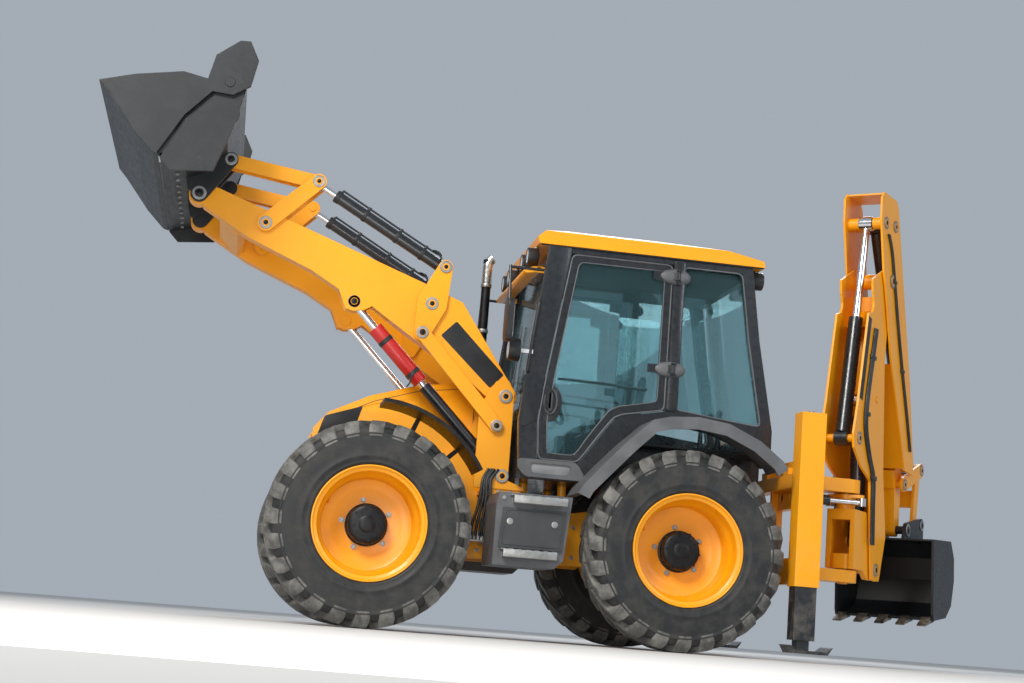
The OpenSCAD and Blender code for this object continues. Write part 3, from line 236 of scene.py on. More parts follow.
finishes = {
    "yellowPaint": {
        "colour": (0.93, 0.37, 0.001), "shade": (0.88, 0.34, 0.001), "rough": (0.3, 0.42), "coat": 0.1},
    "blackPaint": {
        "colour": (0.008, 0.009, 0.011), "shade": (0.014, 0.016, 0.019), "rough": (0.2, 0.42), "coat": 0.3},
    "redPaint": {
        "colour": (0.55, 0.012, 0.008), "shade": (0.42, 0.01, 0.008), "rough": (0.3, 0.5), "coat": 0.2},
    "dust": (0.36, 0.31, 0.25),
}


def paintFinish(name, dustAmount):
    look = finishes[name]
    m = NodeMaker(name)
    shade = m.mix(m.ramp(m.noise(1.7, 3.0), 0.35, 0.65), look["colour"], look["shade"])
    grime = m.math("MULTIPLY", m.ramp(m.height(), 1.5, 0.1), m.ramp(m.noise(9.0, 6.0, 0.7), 0.45, 0.75))
    grime = m.math("MULTIPLY", grime, dustAmount)
    m.colour(m.mix(grime, shade, finishes["dust"]))
    rough = m.ramp(m.noise(22.0, 5.0, 0.6), 0.3, 0.7, *look["rough"])
    m.roughness(m.math("ADD", rough, grime))
    m.fixed(Coat_Weight=look["coat"], Coat_Roughness=0.06, IOR=1.5)
    m.bump(m.noise(70.0, 2.0, 0.4), 0.035, 0.0015, edge=0.005)
    return m.material


def bucketSteel():
    m = NodeMaker("bucketSteel")
    scratch = m.noise(3.2, 8.0, 0.75, m.stretched((14, 2.2, 14)))
    worn = m.math("MULTIPLY", m.ramp(scratch, 0.56, 0.66), m.ramp(m.noise(2.6, 4.0), 0.45, 0.62))
    base = m.mix(m.ramp(m.noise(6.0, 6.0, 0.65), 0.4, 0.62), (0.006, 0.0075, 0.0095), (0.011, 0.0135, 0.017))
    base = m.mix(worn, base, (0.03, 0.028, 0.026))
    m.colour(base)
    m.roughness(m.ramp(scratch, 0.3, 0.7, 0.36, 0.6))
    m.fixed(Metallic=0.1, Coat_Weight=0.08, Coat_Roughness=0.2)
    m.bump(scratch, 0.1, 0.002, edge=0.006)
    return m.material


def wornSteel():
    m = NodeMaker("wornSteel")
    streak = m.noise(4.0, 8.0, 0.75, m.stretched((10, 1.5, 10)))
    base = m.mix(m.ramp(streak, 0.38, 0.62), (0.11, 0.075, 0.05), (0.3, 0.26, 0.21))
    base = m.mix(m.ramp(m.noise(5.0, 5.0), 0.5, 0.66), base, (0.035, 0.032, 0.03))
    m.colour(base)
    m.roughness(m.ramp(streak, 0.3, 0.7, 0.3, 0.65))
    m.fixed(Metallic=0.55)
    m.bump(streak, 0.2, 0.003)
    return m.material


def chromeRod():
    m = NodeMaker("chromeRod")
    m.colour(m.mix(m.ramp(m.noise(30.0, 3.0), 0.4, 0.6), (0.78, 0.78, 0.78), (0.66, 0.66, 0.67)))
    m.roughness(m.ramp(m.noise(50.0, 4.0), 0.3, 0.7, 0.08, 0.2))
    m.fixed(Metallic=1.0)
    return m.material


def zincSteel(name, colour, rough):
    m = NodeMaker(name)
    spangle = m.node("ShaderNodeTexVoronoi")
    spangle.inputs["Scale"].default_value = 55.0
    m.link(m.coords, spangle.inputs["Vector"])
    tone = m.math("MULTIPLY", m.noise(12.0, 4.0), m.ramp(spangle.outputs["Distance"], 0.0, 0.8, 0.8, 1.15))
    dark = tuple(c * 0.72 for c in colour)
    m.colour(m.mix(m.ramp(tone, 0.35, 0.65), dark, colour))
    m.roughness(m.ramp(m.noise(40.0, 4.0), 0.3, 0.7, rough - 0.08, rough + 0.12))
    m.fixed(Metallic=0.9)
    return m.material


def tyreRubber(name, clean, dusty):
    m = NodeMaker(name)
    mud = m.ramp(m.noise(7.0, 8.0, 0.7), 0.44, 0.66)
    base = m.mix(mud, clean, dusty)
    m.colour(base)
    m.roughness(m.ramp(mud, 0.0, 1.0, 0.5, 0.78))
    m.fixed(IOR=1.45)
    m.bump(m.noise(160.0, 3.0, 0.6), 0.12, 0.001)
    return m.material


def grainPlastic(name, colour, rough=0.5):
    m = NodeMaker(name)
    lighter = tuple(c * 1.35 + 0.004 for c in colour)
    m.colour(m.mix(m.ramp(m.noise(5.0, 5.0), 0.4, 0.65), colour, lighter))
    m.roughness(m.ramp(m.noise(60.0, 4.0), 0.3, 0.7, rough - 0.07, rough + 0.1))
    m.bump(m.noise(420.0, 2.0, 0.5), 0.12, 0.0006)
    return m.material


def cabGlass():
    m = NodeMaker("cabGlass")
    m.colour(m.mix(m.ramp(m.noise(2.0, 2.0), 0.3, 0.7), (0.15, 0.42, 0.46), (0.19, 0.48, 0.52)))
    m.fixed(Roughness=0.02, Transmission_Weight=0.94, IOR=1.45, Specular_IOR_Level=0.6, Alpha=0.5)
    return m.material


def lampLens(name, colour):
    m = NodeMaker(name)
    ribs = m.node("ShaderNodeTexWave")
    ribs.inputs["Scale"].default_value = 60.0
    m.link(m.coords, ribs.inputs["Vector"])
    darker = tuple(c * 0.8 for c in colour)
    m.colour(m.mix(ribs.outputs["Fac"], darker, colour))
    m.fixed(Roughness=0.12, Coat_Weight=0.6, Coat_Roughness=0.03)
    m.bump(ribs.outputs["Fac"], 0.1, 0.001)
    return m.material


def hoseRubber():
    m = NodeMaker("hoseRubber")
    m.colour(m.mix(m.ramp(m.noise(14.0, 5.0), 0.4, 0.65), (0.01, 0.01, 0.011), (0.028, 0.027, 0.026)))
    m.roughness(m.ramp(m.noise(30.0, 4.0), 0.3, 0.7, 0.35, 0.55))
    m.bump(m.noise(300.0, 2.0), 0.08, 0.0005)
    return m.material


def seatCloth():
    m = NodeMaker("seatCloth")
    weave = m.node("ShaderNodeTexVoronoi")
    weave.inputs["Scale"].default_value = 320.0
    m.link(m.coords, weave.inputs["Vector"])
    m.colour(m.mix(m.ramp(m.noise(9.0, 4.0), 0.4, 0.6), (0.03, 0.031, 0.034), (0.06, 0.061, 0.066)))
    m.fixed(Roughness=0.9, Sheen_Weight=0.4)
    m.bump(weave.outputs["Distance"], 0.3, 0.001)
    return m.material


mat = {
    "yellow": paintFinish("yellowPaint", 0.16),
    "black": paintFinish("blackPaint", 0.3),
    "red": paintFinish("redPaint", 0.2),
    "bucket": bucketSteel(),
    "worn": wornSteel(),
    "chrome": chromeRod(),
    "zinc": zincSteel("zincSteel", (0.4, 0.4, 0.39), 0.44),
    "stainless": zincSteel("stainlessSteel", (0.66, 0.65, 0.62), 0.22),
    "iron": zincSteel("hubIron", (0.03, 0.03, 0.031), 0.42),
    "tyre": tyreRubber("tyreRubber", (0.014, 0.0145, 0.0155), (0.045, 0.043, 0.04)),
    "lug": tyreRubber("lugRubber", (0.075, 0.073, 0.068), (0.22, 0.21, 0.19)),
    "plastic": grainPlastic("darkPlastic", (0.035, 0.036, 0.039)),
    "grey": grainPlastic("greyPlastic", (0.085, 0.087, 0.092)),
    "trim": grainPlastic("blackTrim", (0.012, 0.012, 0.013), 0.42),
    "glass": cabGlass(),
    "clear": lampLens("clearLens", (0.78, 0.8, 0.82)),
    "hose": hoseRubber(),
    "cloth": seatCloth(),
    "panel": grainPlastic("sillPlastic", (0.2, 0.2, 0.205), 0.4),
}

nodeFinish = {
    "yellow": ("chassis", "bonnet", "roof", "rear_frame", "carriage", "kingpost", "boom", "dipper",
               "tipping_lever", "tipping_link", "loader_arms", "bellcranks", "loader_links", "lever_plates",
               "levelling_links", "rim_front_left", "rim_front_right", "rim_rear_left", "rim_rear_right"),
    "bucket": ("shovel_back", "shovel_clam", "digging_bucket"),
    "chrome": ("slew_rod_left", "slew_rod_right", "boom_rod", "dipper_rod", "crowd_rod", "lift_rods",
               "shovel_rods"),
    "glass": ("cab_glass", "door_glass_left", "door_glass_right"),
    "grey": ("rear_fenders", "toolbox", "fuel_tank"),
    "plastic": ("toolbox_door", "grille"),
    "cloth": ("seat",),
    "clear": ("lamps",),
    "iron": ("axles", "engine", "knuckle_front_left", "knuckle_front_right", "knuckle_rear_left",
             "knuckle_rear_right"),
    "tyre": ("tyre_front_left", "tyre_front_right", "tyre_rear_left", "tyre_rear_right"),
}


def finishNodes():
    chosen = {name: key for key, names in nodeFinish.items() for name in names}
    for name, obj in nodes.items():
        obj.data.materials.clear()
        obj.data.materials.append(mat[chosen.get(name, "black")])


finishNodes()
print("materials on", len(nodes), "nodes")

# Making and finishing pieces

sides = {"left": 1, "right": -1}
up = (0, 0, 1)


def toMesh(name, bm, angle):
    # Merges doubles, turns the faces outwards and keeps edges sharper than the angle sharp
    bmesh.ops.remove_doubles(bm, verts=bm.verts, dist=0.00002)
    bmesh.ops.recalc_face_normals(bm, faces=bm.faces)
    limit = math.radians(angle)
    for face in bm.faces:
        face.smooth = True
    for edge in bm.edges:
        edge.smooth = len(edge.link_faces) == 2 and edge.calc_face_angle(0.0) < limit
    mesh = bpy.data.meshes.new(name)
    bm.to_mesh(mesh)
    bm.free()
    return mesh


def finished(name, shape, key, body, angle=34.0, replaced=()):
    mesh = toMesh(name, shape, angle) if isinstance(shape, bmesh.types.BMesh) else shape
    piece = bpy.data.objects.new(name, mesh)
    scene.collection.objects.link(piece)
    mesh.materials.clear()
    mesh.materials.append(mat[key])
    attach(piece, body)
    if replaced:
        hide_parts(*replaced)
    return piece


def turns(count, start=0.0):
    return [2 * math.pi * (k + start) / count for k in range(count)]


def skin(bm, rings, joined=False):
    # Faces between each ring of points and the next, and back to the first where they are joined
    for a, b in zip(rings, rings[1:] + (rings[:1] if joined else [])):
        count = len(a)
        for j in range(count):
            n = (j + 1) % count
            bm.faces.new((a[j], a[n], b[n], b[j]))


def lathe(bm, profile, segments, at, axis=(0, 1, 0), closed=False):
    # The profile is (radius, distance along the axis) in millimetres
    along = Vector(axis).normalized()
    across = along.orthogonal().normalized()
    other = along.cross(across)
    rings = []
    for turn in turns(segments):
        out = across * math.cos(turn) + other * math.sin(turn)
        rings.append([bm.verts.new(at + (out * r + along * d) / 1000) for r, d in profile])
    count = len(profile)
    for k in range(segments):
        a, b = rings[k], rings[(k + 1) % segments]
        for j in range(count if closed else count - 1):
            n = (j + 1) % count
            bm.faces.new((a[j], b[j], b[n], a[n]))


def prism(bm, outline, y0, y1, soft=0.0, spot=place):
    # An outline in side view, carried from y0 to y1, with its edges eased by soft
    low = [bm.verts.new(spot(x, y0, z)) for x, z in outline]
    high = [bm.verts.new(spot(x, y1, z)) for x, z in outline]
    faces = [bm.faces.new(low), bm.faces.new(high[::-1])]
    for k in range(len(outline)):
        n = (k + 1) % len(outline)
        faces.append(bm.faces.new((low[n], low[k], high[k], high[n])))
    if soft:
        edges = dict.fromkeys(e for f in faces for e in f.edges)
        bmesh.ops.bevel(bm, geom=list(edges), offset=soft / 1000, segments=2, profile=0.5, affect="EDGES")


def block(bm, low, high, soft=4.0, spot=place):
    outline = [(low[0], low[2]), (high[0], low[2]), (high[0], high[2]), (low[0], high[2])]
    prism(bm, outline, low[1], high[1], soft, spot)


def smoothPath(points, steps=8):
    pts = [Vector(p) for p in points]
    pts = [pts[0] * 2 - pts[1]] + pts + [pts[-1] * 2 - pts[-2]]
    path = []
    for k in range(1, len(pts) - 2):
        a, b, c, d = pts[k - 1:k + 3]
        for s in range(steps):
            t = s / steps
            path.append(0.5 * ((2 * b) + (c - a) * t + (2 * a - 5 * b + 4 * c - d) * t * t
                               + (3 * b - a - 3 * c + d) * t ** 3))
    return path + [pts[-2]]


def tube(bm, points, radius, segments=10, steps=8, spot=place):
    path = [spot(*p) for p in smoothPath(points, steps)]
    out = (path[1] - path[0]).normalized().orthogonal().normalized()
    rings = []
    for k, p in enumerate(path):
        ahead = (path[min(k + 1, len(path) - 1)] - path[max(k - 1, 0)]).normalized()
        out = (out - ahead * out.dot(ahead)).normalized()
        other = ahead.cross(out)
        rings.append([bm.verts.new(p + (out * math.cos(turn) + other * math.sin(turn)) * radius / 1000)
                      for turn in turns(segments)])
    skin(bm, rings)
    bm.faces.new(rings[0][::-1])
    bm.faces.new(rings[-1])


def roundedLoop(outline, radius, steps=4):
    # The outline with each corner turned on a short arc
    loop = []
    count = len(outline)
    for k in range(count):
        a, b, c = (Vector((*outline[(k + s) % count], 0)) for s in (-1, 0, 1))
        back, ahead = a - b, c - b
        cut = min(radius, back.length * 0.45, ahead.length * 0.45)
        p, q = b + back.normalized() * cut, b + ahead.normalized() * cut
        for s in range(steps + 1):
            t = s / steps
            v = p * (1 - t) ** 2 + b * 2 * t * (1 - t) + q * t * t
            loop.append((v.x, v.y))
    return loop


def loopTube(bm, outline, y, radius, corner=40, segments=8):
    # A cord laid round a closed outline at one distance from the middle
    points = [place(x, y, z) for x, z in roundedLoop(outline, corner)]
    count = len(points)
    across = Vector((0, 1, 0))
    rings = []
    for k in range(count):
        other = (points[(k + 1) % count] - points[k - 1]).normalized().cross(across)
        rings.append([bm.verts.new(points[k] + (across * math.cos(t) + other * math.sin(t)) * radius / 1000)
                      for t in turns(segments)])
    skin(bm, rings, True)


# Geometry Nodes: copies round an axle or in a row, and fasteners on marked spots


def startTree(name, sockets):
    tree = bpy.data.node_groups.new(name, "GeometryNodeTree")
    tree.interface.new_socket("Geometry", in_out="INPUT", socket_type="NodeSocketGeometry")
    for label, kind in sockets + [("Finish", "NodeSocketMaterial")]:
        tree.interface.new_socket(label, in_out="INPUT", socket_type=kind)
    tree.interface.new_socket("Geometry", in_out="OUTPUT", socket_type="NodeSocketGeometry")
    return tree, tree.nodes.new("NodeGroupInput"), tree.nodes.new("NodeGroupOutput")


def endTree(tree, entry, leave, instances):
    real = tree.nodes.new("GeometryNodeRealizeInstances")
    paint = tree.nodes.new("GeometryNodeSetMaterial")
    tree.links.new(instances, real.inputs["Geometry"])
    tree.links.new(real.outputs["Geometry"], paint.inputs["Geometry"])
    tree.links.new(entry.outputs["Finish"], paint.inputs["Material"])
    tree.links.new(paint.outputs["Geometry"], leave.inputs["Geometry"])
    return tree


def copiesTree():
    # Copies at equal steps, each turned on by the same angles; no step sets them round an axle
    kinds = [("Count", "NodeSocketInt"), ("Step", "NodeSocketVector"), ("Turn", "NodeSocketVector")]
    tree, entry, leave = startTree("copies", kinds)
    make, link = tree.nodes.new, tree.links.new
    points = make("GeometryNodePoints")
    copies = make("GeometryNodeInstanceOnPoints")
    index = make("GeometryNodeInputIndex")
    spin = make("FunctionNodeEulerToRotation")
    for label, into in (("Step", points.inputs["Position"]), ("Turn", spin.inputs[0])):
        scaled = make("ShaderNodeVectorMath")
        scaled.operation = "SCALE"
        link(entry.outputs[label], scaled.inputs[0])
        link(index.outputs["Index"], scaled.inputs["Scale"])
        link(scaled.outputs[0], into)
    link(entry.outputs["Count"], points.inputs["Count"])
    link(points.outputs[0], copies.inputs["Points"])
    link(entry.outputs["Geometry"], copies.inputs["Instance"])
    link(spin.outputs[0], copies.inputs["Rotation"])
    return endTree(tree, entry, leave, copies.outputs["Instances"])


def fastenerTree():
    tree, entry, leave = startTree("fastenersOnSpots", [("Fastener", "NodeSocketObject")])
    make, link = tree.nodes.new, tree.links.new
    copies = make("GeometryNodeInstanceOnPoints")
    part = make("GeometryNodeObjectInfo")
    facing = make("GeometryNodeInputNamedAttribute")
    facing.data_type = "FLOAT_VECTOR"
    facing.inputs["Name"].default_value = "facing"
    sizes = make("GeometryNodeInputNamedAttribute")
    sizes.data_type = "FLOAT"
    sizes.inputs["Name"].default_value = "headSize"
    align = make("FunctionNodeAlignRotationToVector")
    align.axis = "Z"
    link(entry.outputs["Fastener"], part.inputs["Object"])
    link(entry.outputs["Geometry"], copies.inputs["Points"])
    link(part.outputs["Geometry"], copies.inputs["Instance"])
    link(facing.outputs["Attribute"], align.inputs["Vector"])
    link(align.outputs["Rotation"], copies.inputs["Rotation"])
    link(sizes.outputs["Attribute"], copies.inputs["Scale"])
    return endTree(tree, entry, leave, copies.outputs["Instances"])


trees = {"copies": copiesTree(), "fastener": fastenerTree()}


def grown(name, mesh, treeKey, values):
    # Runs a tree over a mesh once and gives back the plain result
    holder = bpy.data.objects.new(name, mesh)
    scene.collection.objects.link(holder)
    modifier = holder.modifiers.new("grow", "NODES")
    modifier.node_group = trees[treeKey]
    for item in trees[treeKey].interface.items_tree:
        if item.in_out == "INPUT" and item.name in values:
            modifier[item.identifier] = values[item.name]
    bpy.context.view_layer.update()
    evaluated = holder.evaluated_get(bpy.context.evaluated_depsgraph_get())
    result = bpy.data.meshes.new_from_object(evaluated)
    holder.modifiers.remove(modifier)
    bpy.data.objects.remove(holder)
    result.name = name
    return result


def shifted(mesh, at):
    mesh.transform(Matrix.Translation(at))
    return mesh


def fastenerMaster():
    # A hexagon head on its washer, one unit across the flats
    bm = bmesh.new()
    lathe(bm, [(0, 0), (640, 0), (640, 90), (0, 90)], 20, Vector(), up)
    lathe(bm, [(0, 80), (560, 80), (560, 430), (490, 490), (300, 490), (280, 455), (0, 455)], 6, Vector(), up)
    return bpy.data.objects.new("fastenerMaster", toMesh("fastenerMaster", bm, 20))


master = fastenerMaster()


def fasteners(name, body, spots, key="zinc"):
    # Each spot is a point in metres, the way the head faces, and its width in millimetres
    mesh = bpy.data.meshes.new(name)
    mesh.from_pydata([s[0] for s in spots], [], [])
    mesh.attributes.new("facing", "FLOAT_VECTOR", "POINT")
    mesh.attributes.new("headSize", "FLOAT", "POINT")
    for k, (_, way, size) in enumerate(spots):
        # Looked up by name each time, because a held attribute goes stale when the next is added
        mesh.attributes["facing"].data[k].vector = way
        mesh.attributes["headSize"].data[k].value = size / 1000
    finished(name, grown(name, mesh, "fastener", {"Fastener": master, "Finish": mat[key]}), key, body)


# Wheels: tyre with angled lugs, deep rim, hub and nuts

wheel = {
    "lugs": 24, "lugSweep": 15.0, "lugShift": {1: 0.0, -1: 7.5}, "nuts": 5, "nutRing": 172.0, "nutSize": 30.0,
    "disc": -84.0, "hubRibs": 10, "valveRing": 300.0,
    # Sections are (radius, distance out from the wheel's middle)
    "wall": [
        (362, -165), (388, -190), (402, -203), (412, -209), (424, -208), (434, -212), (446, -216),
        (452, -219), (462, -219), (468, -216), (500, -218), (540, -219), (580, -217), (596, -216),
        (602, -219), (612, -218), (616, -213), (636, -204), (650, -190), (660, -166), (664, -110),
        (666, -50), (667, 0)],
    # A lug at each station: distance out, share of the sweep, top radius, root radius, half its width
    "lug": [
        (4.0, 0.0, 705, 655, 40), (70.0, 0.42, 705, 655, 42), (140.0, 0.84, 703, 650, 47),
        (172.0, 0.98, 699, 640, 52), (200.0, 1.04, 668, 625, 55), (214.0, 1.06, 628, 600, 51),
        (219.5, 1.07, 600, 590, 41)],
    "rim": [
        (130, -84), (206, -84), (236, -74), (262, -68), (296, -64), (312, -56), (318, -40), (320, 0),
        (322, 56), (330, 74), (346, 96), (350, 112), (350, 168), (354, 182), (366, 190), (376, 194),
        (380, 204), (386, 208), (393, 207), (395, 200), (395, 196), (388, 190), (362, 180), (361.7, 90),
        (332, 60), (332, -60), (361.7, -90), (361.7, -180), (395, -196), (395, -206), (383, -208),
        (350, -190), (350, -96), (320, -66), (318, -76), (240, -86), (210, -96), (130, -96)],
    "hub": [
        (62.3, -100), (132, -100), (132, -84), (148, -84), (148, -70), (136, -66), (134, 8), (130, 20),
        (118, 28), (100, 30), (60, 32), (54, 36), (30, 39), (0, 40), (0, 20), (62.3, 20)],
}


def lugMesh(sign):
    # A lug runs from the crown to the shoulder, leans back, and ends down the sidewall
    bm = bmesh.new()
    rows = []
    for y, sweep, top, low, half in wheel["lug"]:
        start = math.radians(wheel["lugSweep"] * sweep + wheel["lugShift"][sign])
        section = ((low, 1.0), (top - 5, 0.93), (top, 0.80), (top, -0.80), (top - 5, -0.93), (low, -1.0))
        row = []
        for r, spread in section:
            turn = start + spread * half / r
            row.append(bm.verts.new((math.sin(turn) * r / 1000, sign * y / 1000, math.cos(turn) * r / 1000)))
        rows.append(row)
    for a, b in zip(rows, rows[1:]):
        for j in range(len(a) - 1):
            bm.faces.new((a[j], a[j + 1], b[j + 1], b[j]))
    bm.faces.new(rows[0])
    bm.faces.new(rows[-1][::-1])
    return toMesh("lug", bm, 40)


def tyrePiece(corner, at):
    body = "wheel_" + corner
    wall = wheel["wall"]
    bm = bmesh.new()
    lathe(bm, wall + [(r, -y) for r, y in reversed(wall[:-1])], 144, Vector(), closed=True)
    finished("treadTyre_" + corner, shifted(toMesh("treadTyre", bm, 34), at), "tyre", body,
             replaced=("tyre_" + corner,))
    ring = {"Count": wheel["lugs"], "Turn": (0, 2 * math.pi / wheel["lugs"], 0), "Finish": mat["lug"]}
    bm = bmesh.new()
    for sign in sides.values():
        bm.from_mesh(grown("lugs", lugMesh(sign), "copies", ring))
    mesh = bpy.data.meshes.new("treadLugs")
    bm.normal_update()
    bm.to_mesh(mesh)
    bm.free()
    for polygon in mesh.polygons:
        polygon.use_smooth = True
    mesh.set_sharp_from_angle(angle=math.radians(34))
    finished("treadLugs_" + corner, shifted(mesh, at), "lug", body)


def rimPiece(corner, sign, at):
    body = "wheel_" + corner
    out = (0, sign, 0)

    def onWheel(turn, r, y):
        return at + Vector((math.sin(turn) * r, sign * y, math.cos(turn) * r)) / 1000

    bm = bmesh.new()
    lathe(bm, [(r, sign * y) for r, y in wheel["rim"]], 128, at, closed=True)
    # Valve stem
    lathe(bm, [(0, 0), (9, 0), (9, 40), (5, 46), (0, 46)], 12, onWheel(1.1, wheel["valveRing"], -66), out)
    finished("rimDish_" + corner, bm, "yellow", body, 38, ("rim_" + corner,))
    # The planetary hub's cover with its ribs, bolts and two plugs
    bm = bmesh.new()
    lathe(bm, [(r, sign * y) for r, y in wheel["hub"]], 64, at)
    for turn in turns(wheel["hubRibs"], 0.3):
        lathe(bm, [(0, -60), (9, -60), (9, 14), (0, 14)], 10, onWheel(turn, 132, 0), out)
        lathe(bm, [(0, 0), (7, 0), (7, 9), (0, 9)], 6, onWheel(turn, 112, 26), out)
    for turn in (0.5, 2.6):
        lathe(bm, [(0, 0), (15, 0), (15, 5), (9, 5), (9, 1), (0, 1)], 16, onWheel(turn, 78, 30), out)
    finished("hubCover_" + corner, bm, "iron", body, 30)
    nutTurns = turns(wheel["nuts"], 0.15)
    fasteners("wheelNuts_" + corner, body,
              [(onWheel(turn, wheel["nutRing"], wheel["disc"]), out, wheel["nutSize"]) for turn in nutTurns])


for end, x in (("front", machine["wheelbase"]), ("rear", 0.0)):
    for sideName, sign in sides.items():
        at = place(x, sign * machine["wheelTrack"], machine["wheelRadius"])
        tyrePiece("%s_%s" % (end, sideName), at)
        rimPiece("%s_%s" % (end, sideName), sign, at)
print("wheels ready")

# Cab: seals, pillar covers, hinge covers, door handles, sills and lining

cab = {
    # Outlines in side view, as forward and up
    "doorLine": [
        (1030, 1285), (1048, 1560), (1010, 1900), (880, 2795), (130, 2795), (130, 1720), (440, 1660),
        (500, 1630), (620, 1465), (700, 1345), (745, 1285)],
    "doorWindow": [
        (970, 1330), (985, 1560), (950, 1900), (828, 2745), (185, 2745), (185, 1775), (470, 1715),
        (535, 1680), (668, 1490), (768, 1330)],
    "sideWindow": [
        (45, 2790), (45, 1730), (-60, 1720), (-420, 1680), (-600, 1664), (-476, 2300), (-402, 2790)],
    "doorPillar": [(34, 2835), (118, 2835), (118, 1712), (34, 1722)],
    "frontPillar": [
        (1010, 2846), (1064, 2846), (1162, 1905), (1190, 1560), (1158, 1500), (1060, 1560), (1022, 1900),
        (892, 2800), (892, 2846)],
    "sill": [(1120, 1150), (1176, 1212), (1180, 1278), (748, 1278), (690, 1190), (706, 1150)],
    "sillPanel": [(1062, 1180), (1080, 1200), (1080, 1252), (800, 1252), (790, 1234), (812, 1180)],
    "pull": [(956, 1630), (982, 1630), (982, 1772), (956, 1772)],
    # Ovals as middle and half lengths
    "handleSurround": (966, 1690, 82, 132), "handleOval": (968, 1700, 46, 88),
    "doorBar": [
        (900, 676, 1880), (900, 650, 1885), (860, 640, 1888), (560, 640, 1880), (300, 640, 1868),
        (262, 650, 1866), (262, 676, 1864)],
    "lining": ((-440, -640, 2756), (930, 640, 2838)),
    "face": 720.0, "hingeX": 92.0, "hingeLevels": (2020.0, 2710.0), "hingeReach": {"front": 142, "rear": 104},
}


def ovalLoop(x, z, halfX, halfZ):
    return [(x + halfX * math.cos(t), z + halfZ * math.sin(t)) for t in turns(36)]


def ringPlate(bm, outer, inner, y0, y1):
    # A flat frame between two loops with the same number of points
    rows = [[bm.verts.new(place(x, y, z)) for x, z in loop] for y in (y0, y1) for loop in (outer, inner)]
    for a, b in ((0, 1), (3, 2), (2, 0), (1, 3)):
        skin(bm, [rows[a], rows[b]])


def dome(bm, centre, half, outward, low, high, steps=10, around=40):
    # Teardrop cover on a wall: an ellipse in side view, swelling outwards, cut off past low and high
    x0, z0, y0 = centre
    rings = []
    for j in range(steps + 1):
        t = math.pi / 2 * j / steps
        ring = []
        for turn in turns(around):
            x = min(max(x0 + half[0] * math.cos(t) * math.cos(turn), low), high)
            z = z0 + half[1] * math.cos(t) ** 0.8 * math.sin(turn)
            ring.append(bm.verts.new(place(x, outward * (y0 + half[2] * math.sin(t)), z)))
        rings.append(ring)
    skin(bm, rings)
    bm.faces.new(rings[0])


def makeCabSide(sideName, sign):
    doorBody = "door_" + sideName
    face = cab["face"]
    # Rubber seals round the door and the two windows
    bm = bmesh.new()
    loopTube(bm, cab["doorLine"], sign * (face - 1), 6)
    loopTube(bm, cab["doorWindow"], sign * (face - 2), 4.5, 45)
    finished("doorSeal_" + sideName, bm, "grey", doorBody)
    bm = bmesh.new()
    loopTube(bm, cab["sideWindow"], sign * (face + 1), 6, 45)
    finished("windowSeal_" + sideName, bm, "grey", "chassis")
    # Hinge covers: the front half swings with the door
    split = cab["hingeX"]
    halves = (("front", doorBody, split + 2, math.inf), ("rear", "chassis", -math.inf, split - 4))
    for part, body, low, high in halves:
        bm = bmesh.new()
        for level in cab["hingeLevels"]:
            dome(bm, (split, level, face - 1), (cab["hingeReach"][part], 60, 39), sign, low, high)
        finished("hingeCover_%s_%s" % (part, sideName), bm, "grey", body, 50)
    # Cover strips over the pillar behind the door and the front pillar
    bm = bmesh.new()
    prism(bm, roundedLoop(cab["doorPillar"], 24), sign * (face - 3), sign * (face + 13), 7)
    prism(bm, roundedLoop(cab["frontPillar"], 16), sign * (face - 3), sign * (face + 9), 5)
    finished("pillarCover_" + sideName, bm, "black", "chassis", 45)
    # Sill under the door with its sunk panel
    bm = bmesh.new()
    sill, recess = roundedLoop(cab["sill"], 34), roundedLoop(cab["sillPanel"], 14)
    ringPlate(bm, sill, recess, sign * (face + 0.4), sign * (face + 22))
    finished("doorSill_" + sideName, bm, "grey", "chassis", 45)
    bm = bmesh.new()
    prism(bm, recess, sign * (face + 0.4), sign * (face + 9), 2)
    finished("sillPanel_" + sideName, bm, "panel", "chassis", 45)
    # Black surround and oval pull of the door handle
    bm = bmesh.new()
    prism(bm, ovalLoop(*cab["handleSurround"]), sign * (face - 10), sign * (face - 1), 3)
    finished("handleSurround_" + sideName, bm, "black", doorBody, 45)
    bm = bmesh.new()
    loopTube(bm, ovalLoop(*cab["handleOval"]), sign * (face + 3), 9, 4)
    prism(bm, roundedLoop(cab["pull"], 12), sign * (face - 4), sign * (face + 16), 5)
    finished("doorPull_" + sideName, bm, "plastic", doorBody, 45)
    # Grab bar inside the door
    bm = bmesh.new()
    tube(bm, [(x, sign * y, z) for x, y, z in cab["doorBar"]], 11)
    finished("doorBar_" + sideName, bm, "plastic", doorBody)


for sideName, sign in sides.items():
    makeCabSide(sideName, sign)
bm = bmesh.new()
block(bm, *cab["lining"], 24)
finished("roofLining", bm, "plastic", "chassis", 45)
print("cab ready")

# Pin ends: a pale washer, a dark pin and its grease nipple

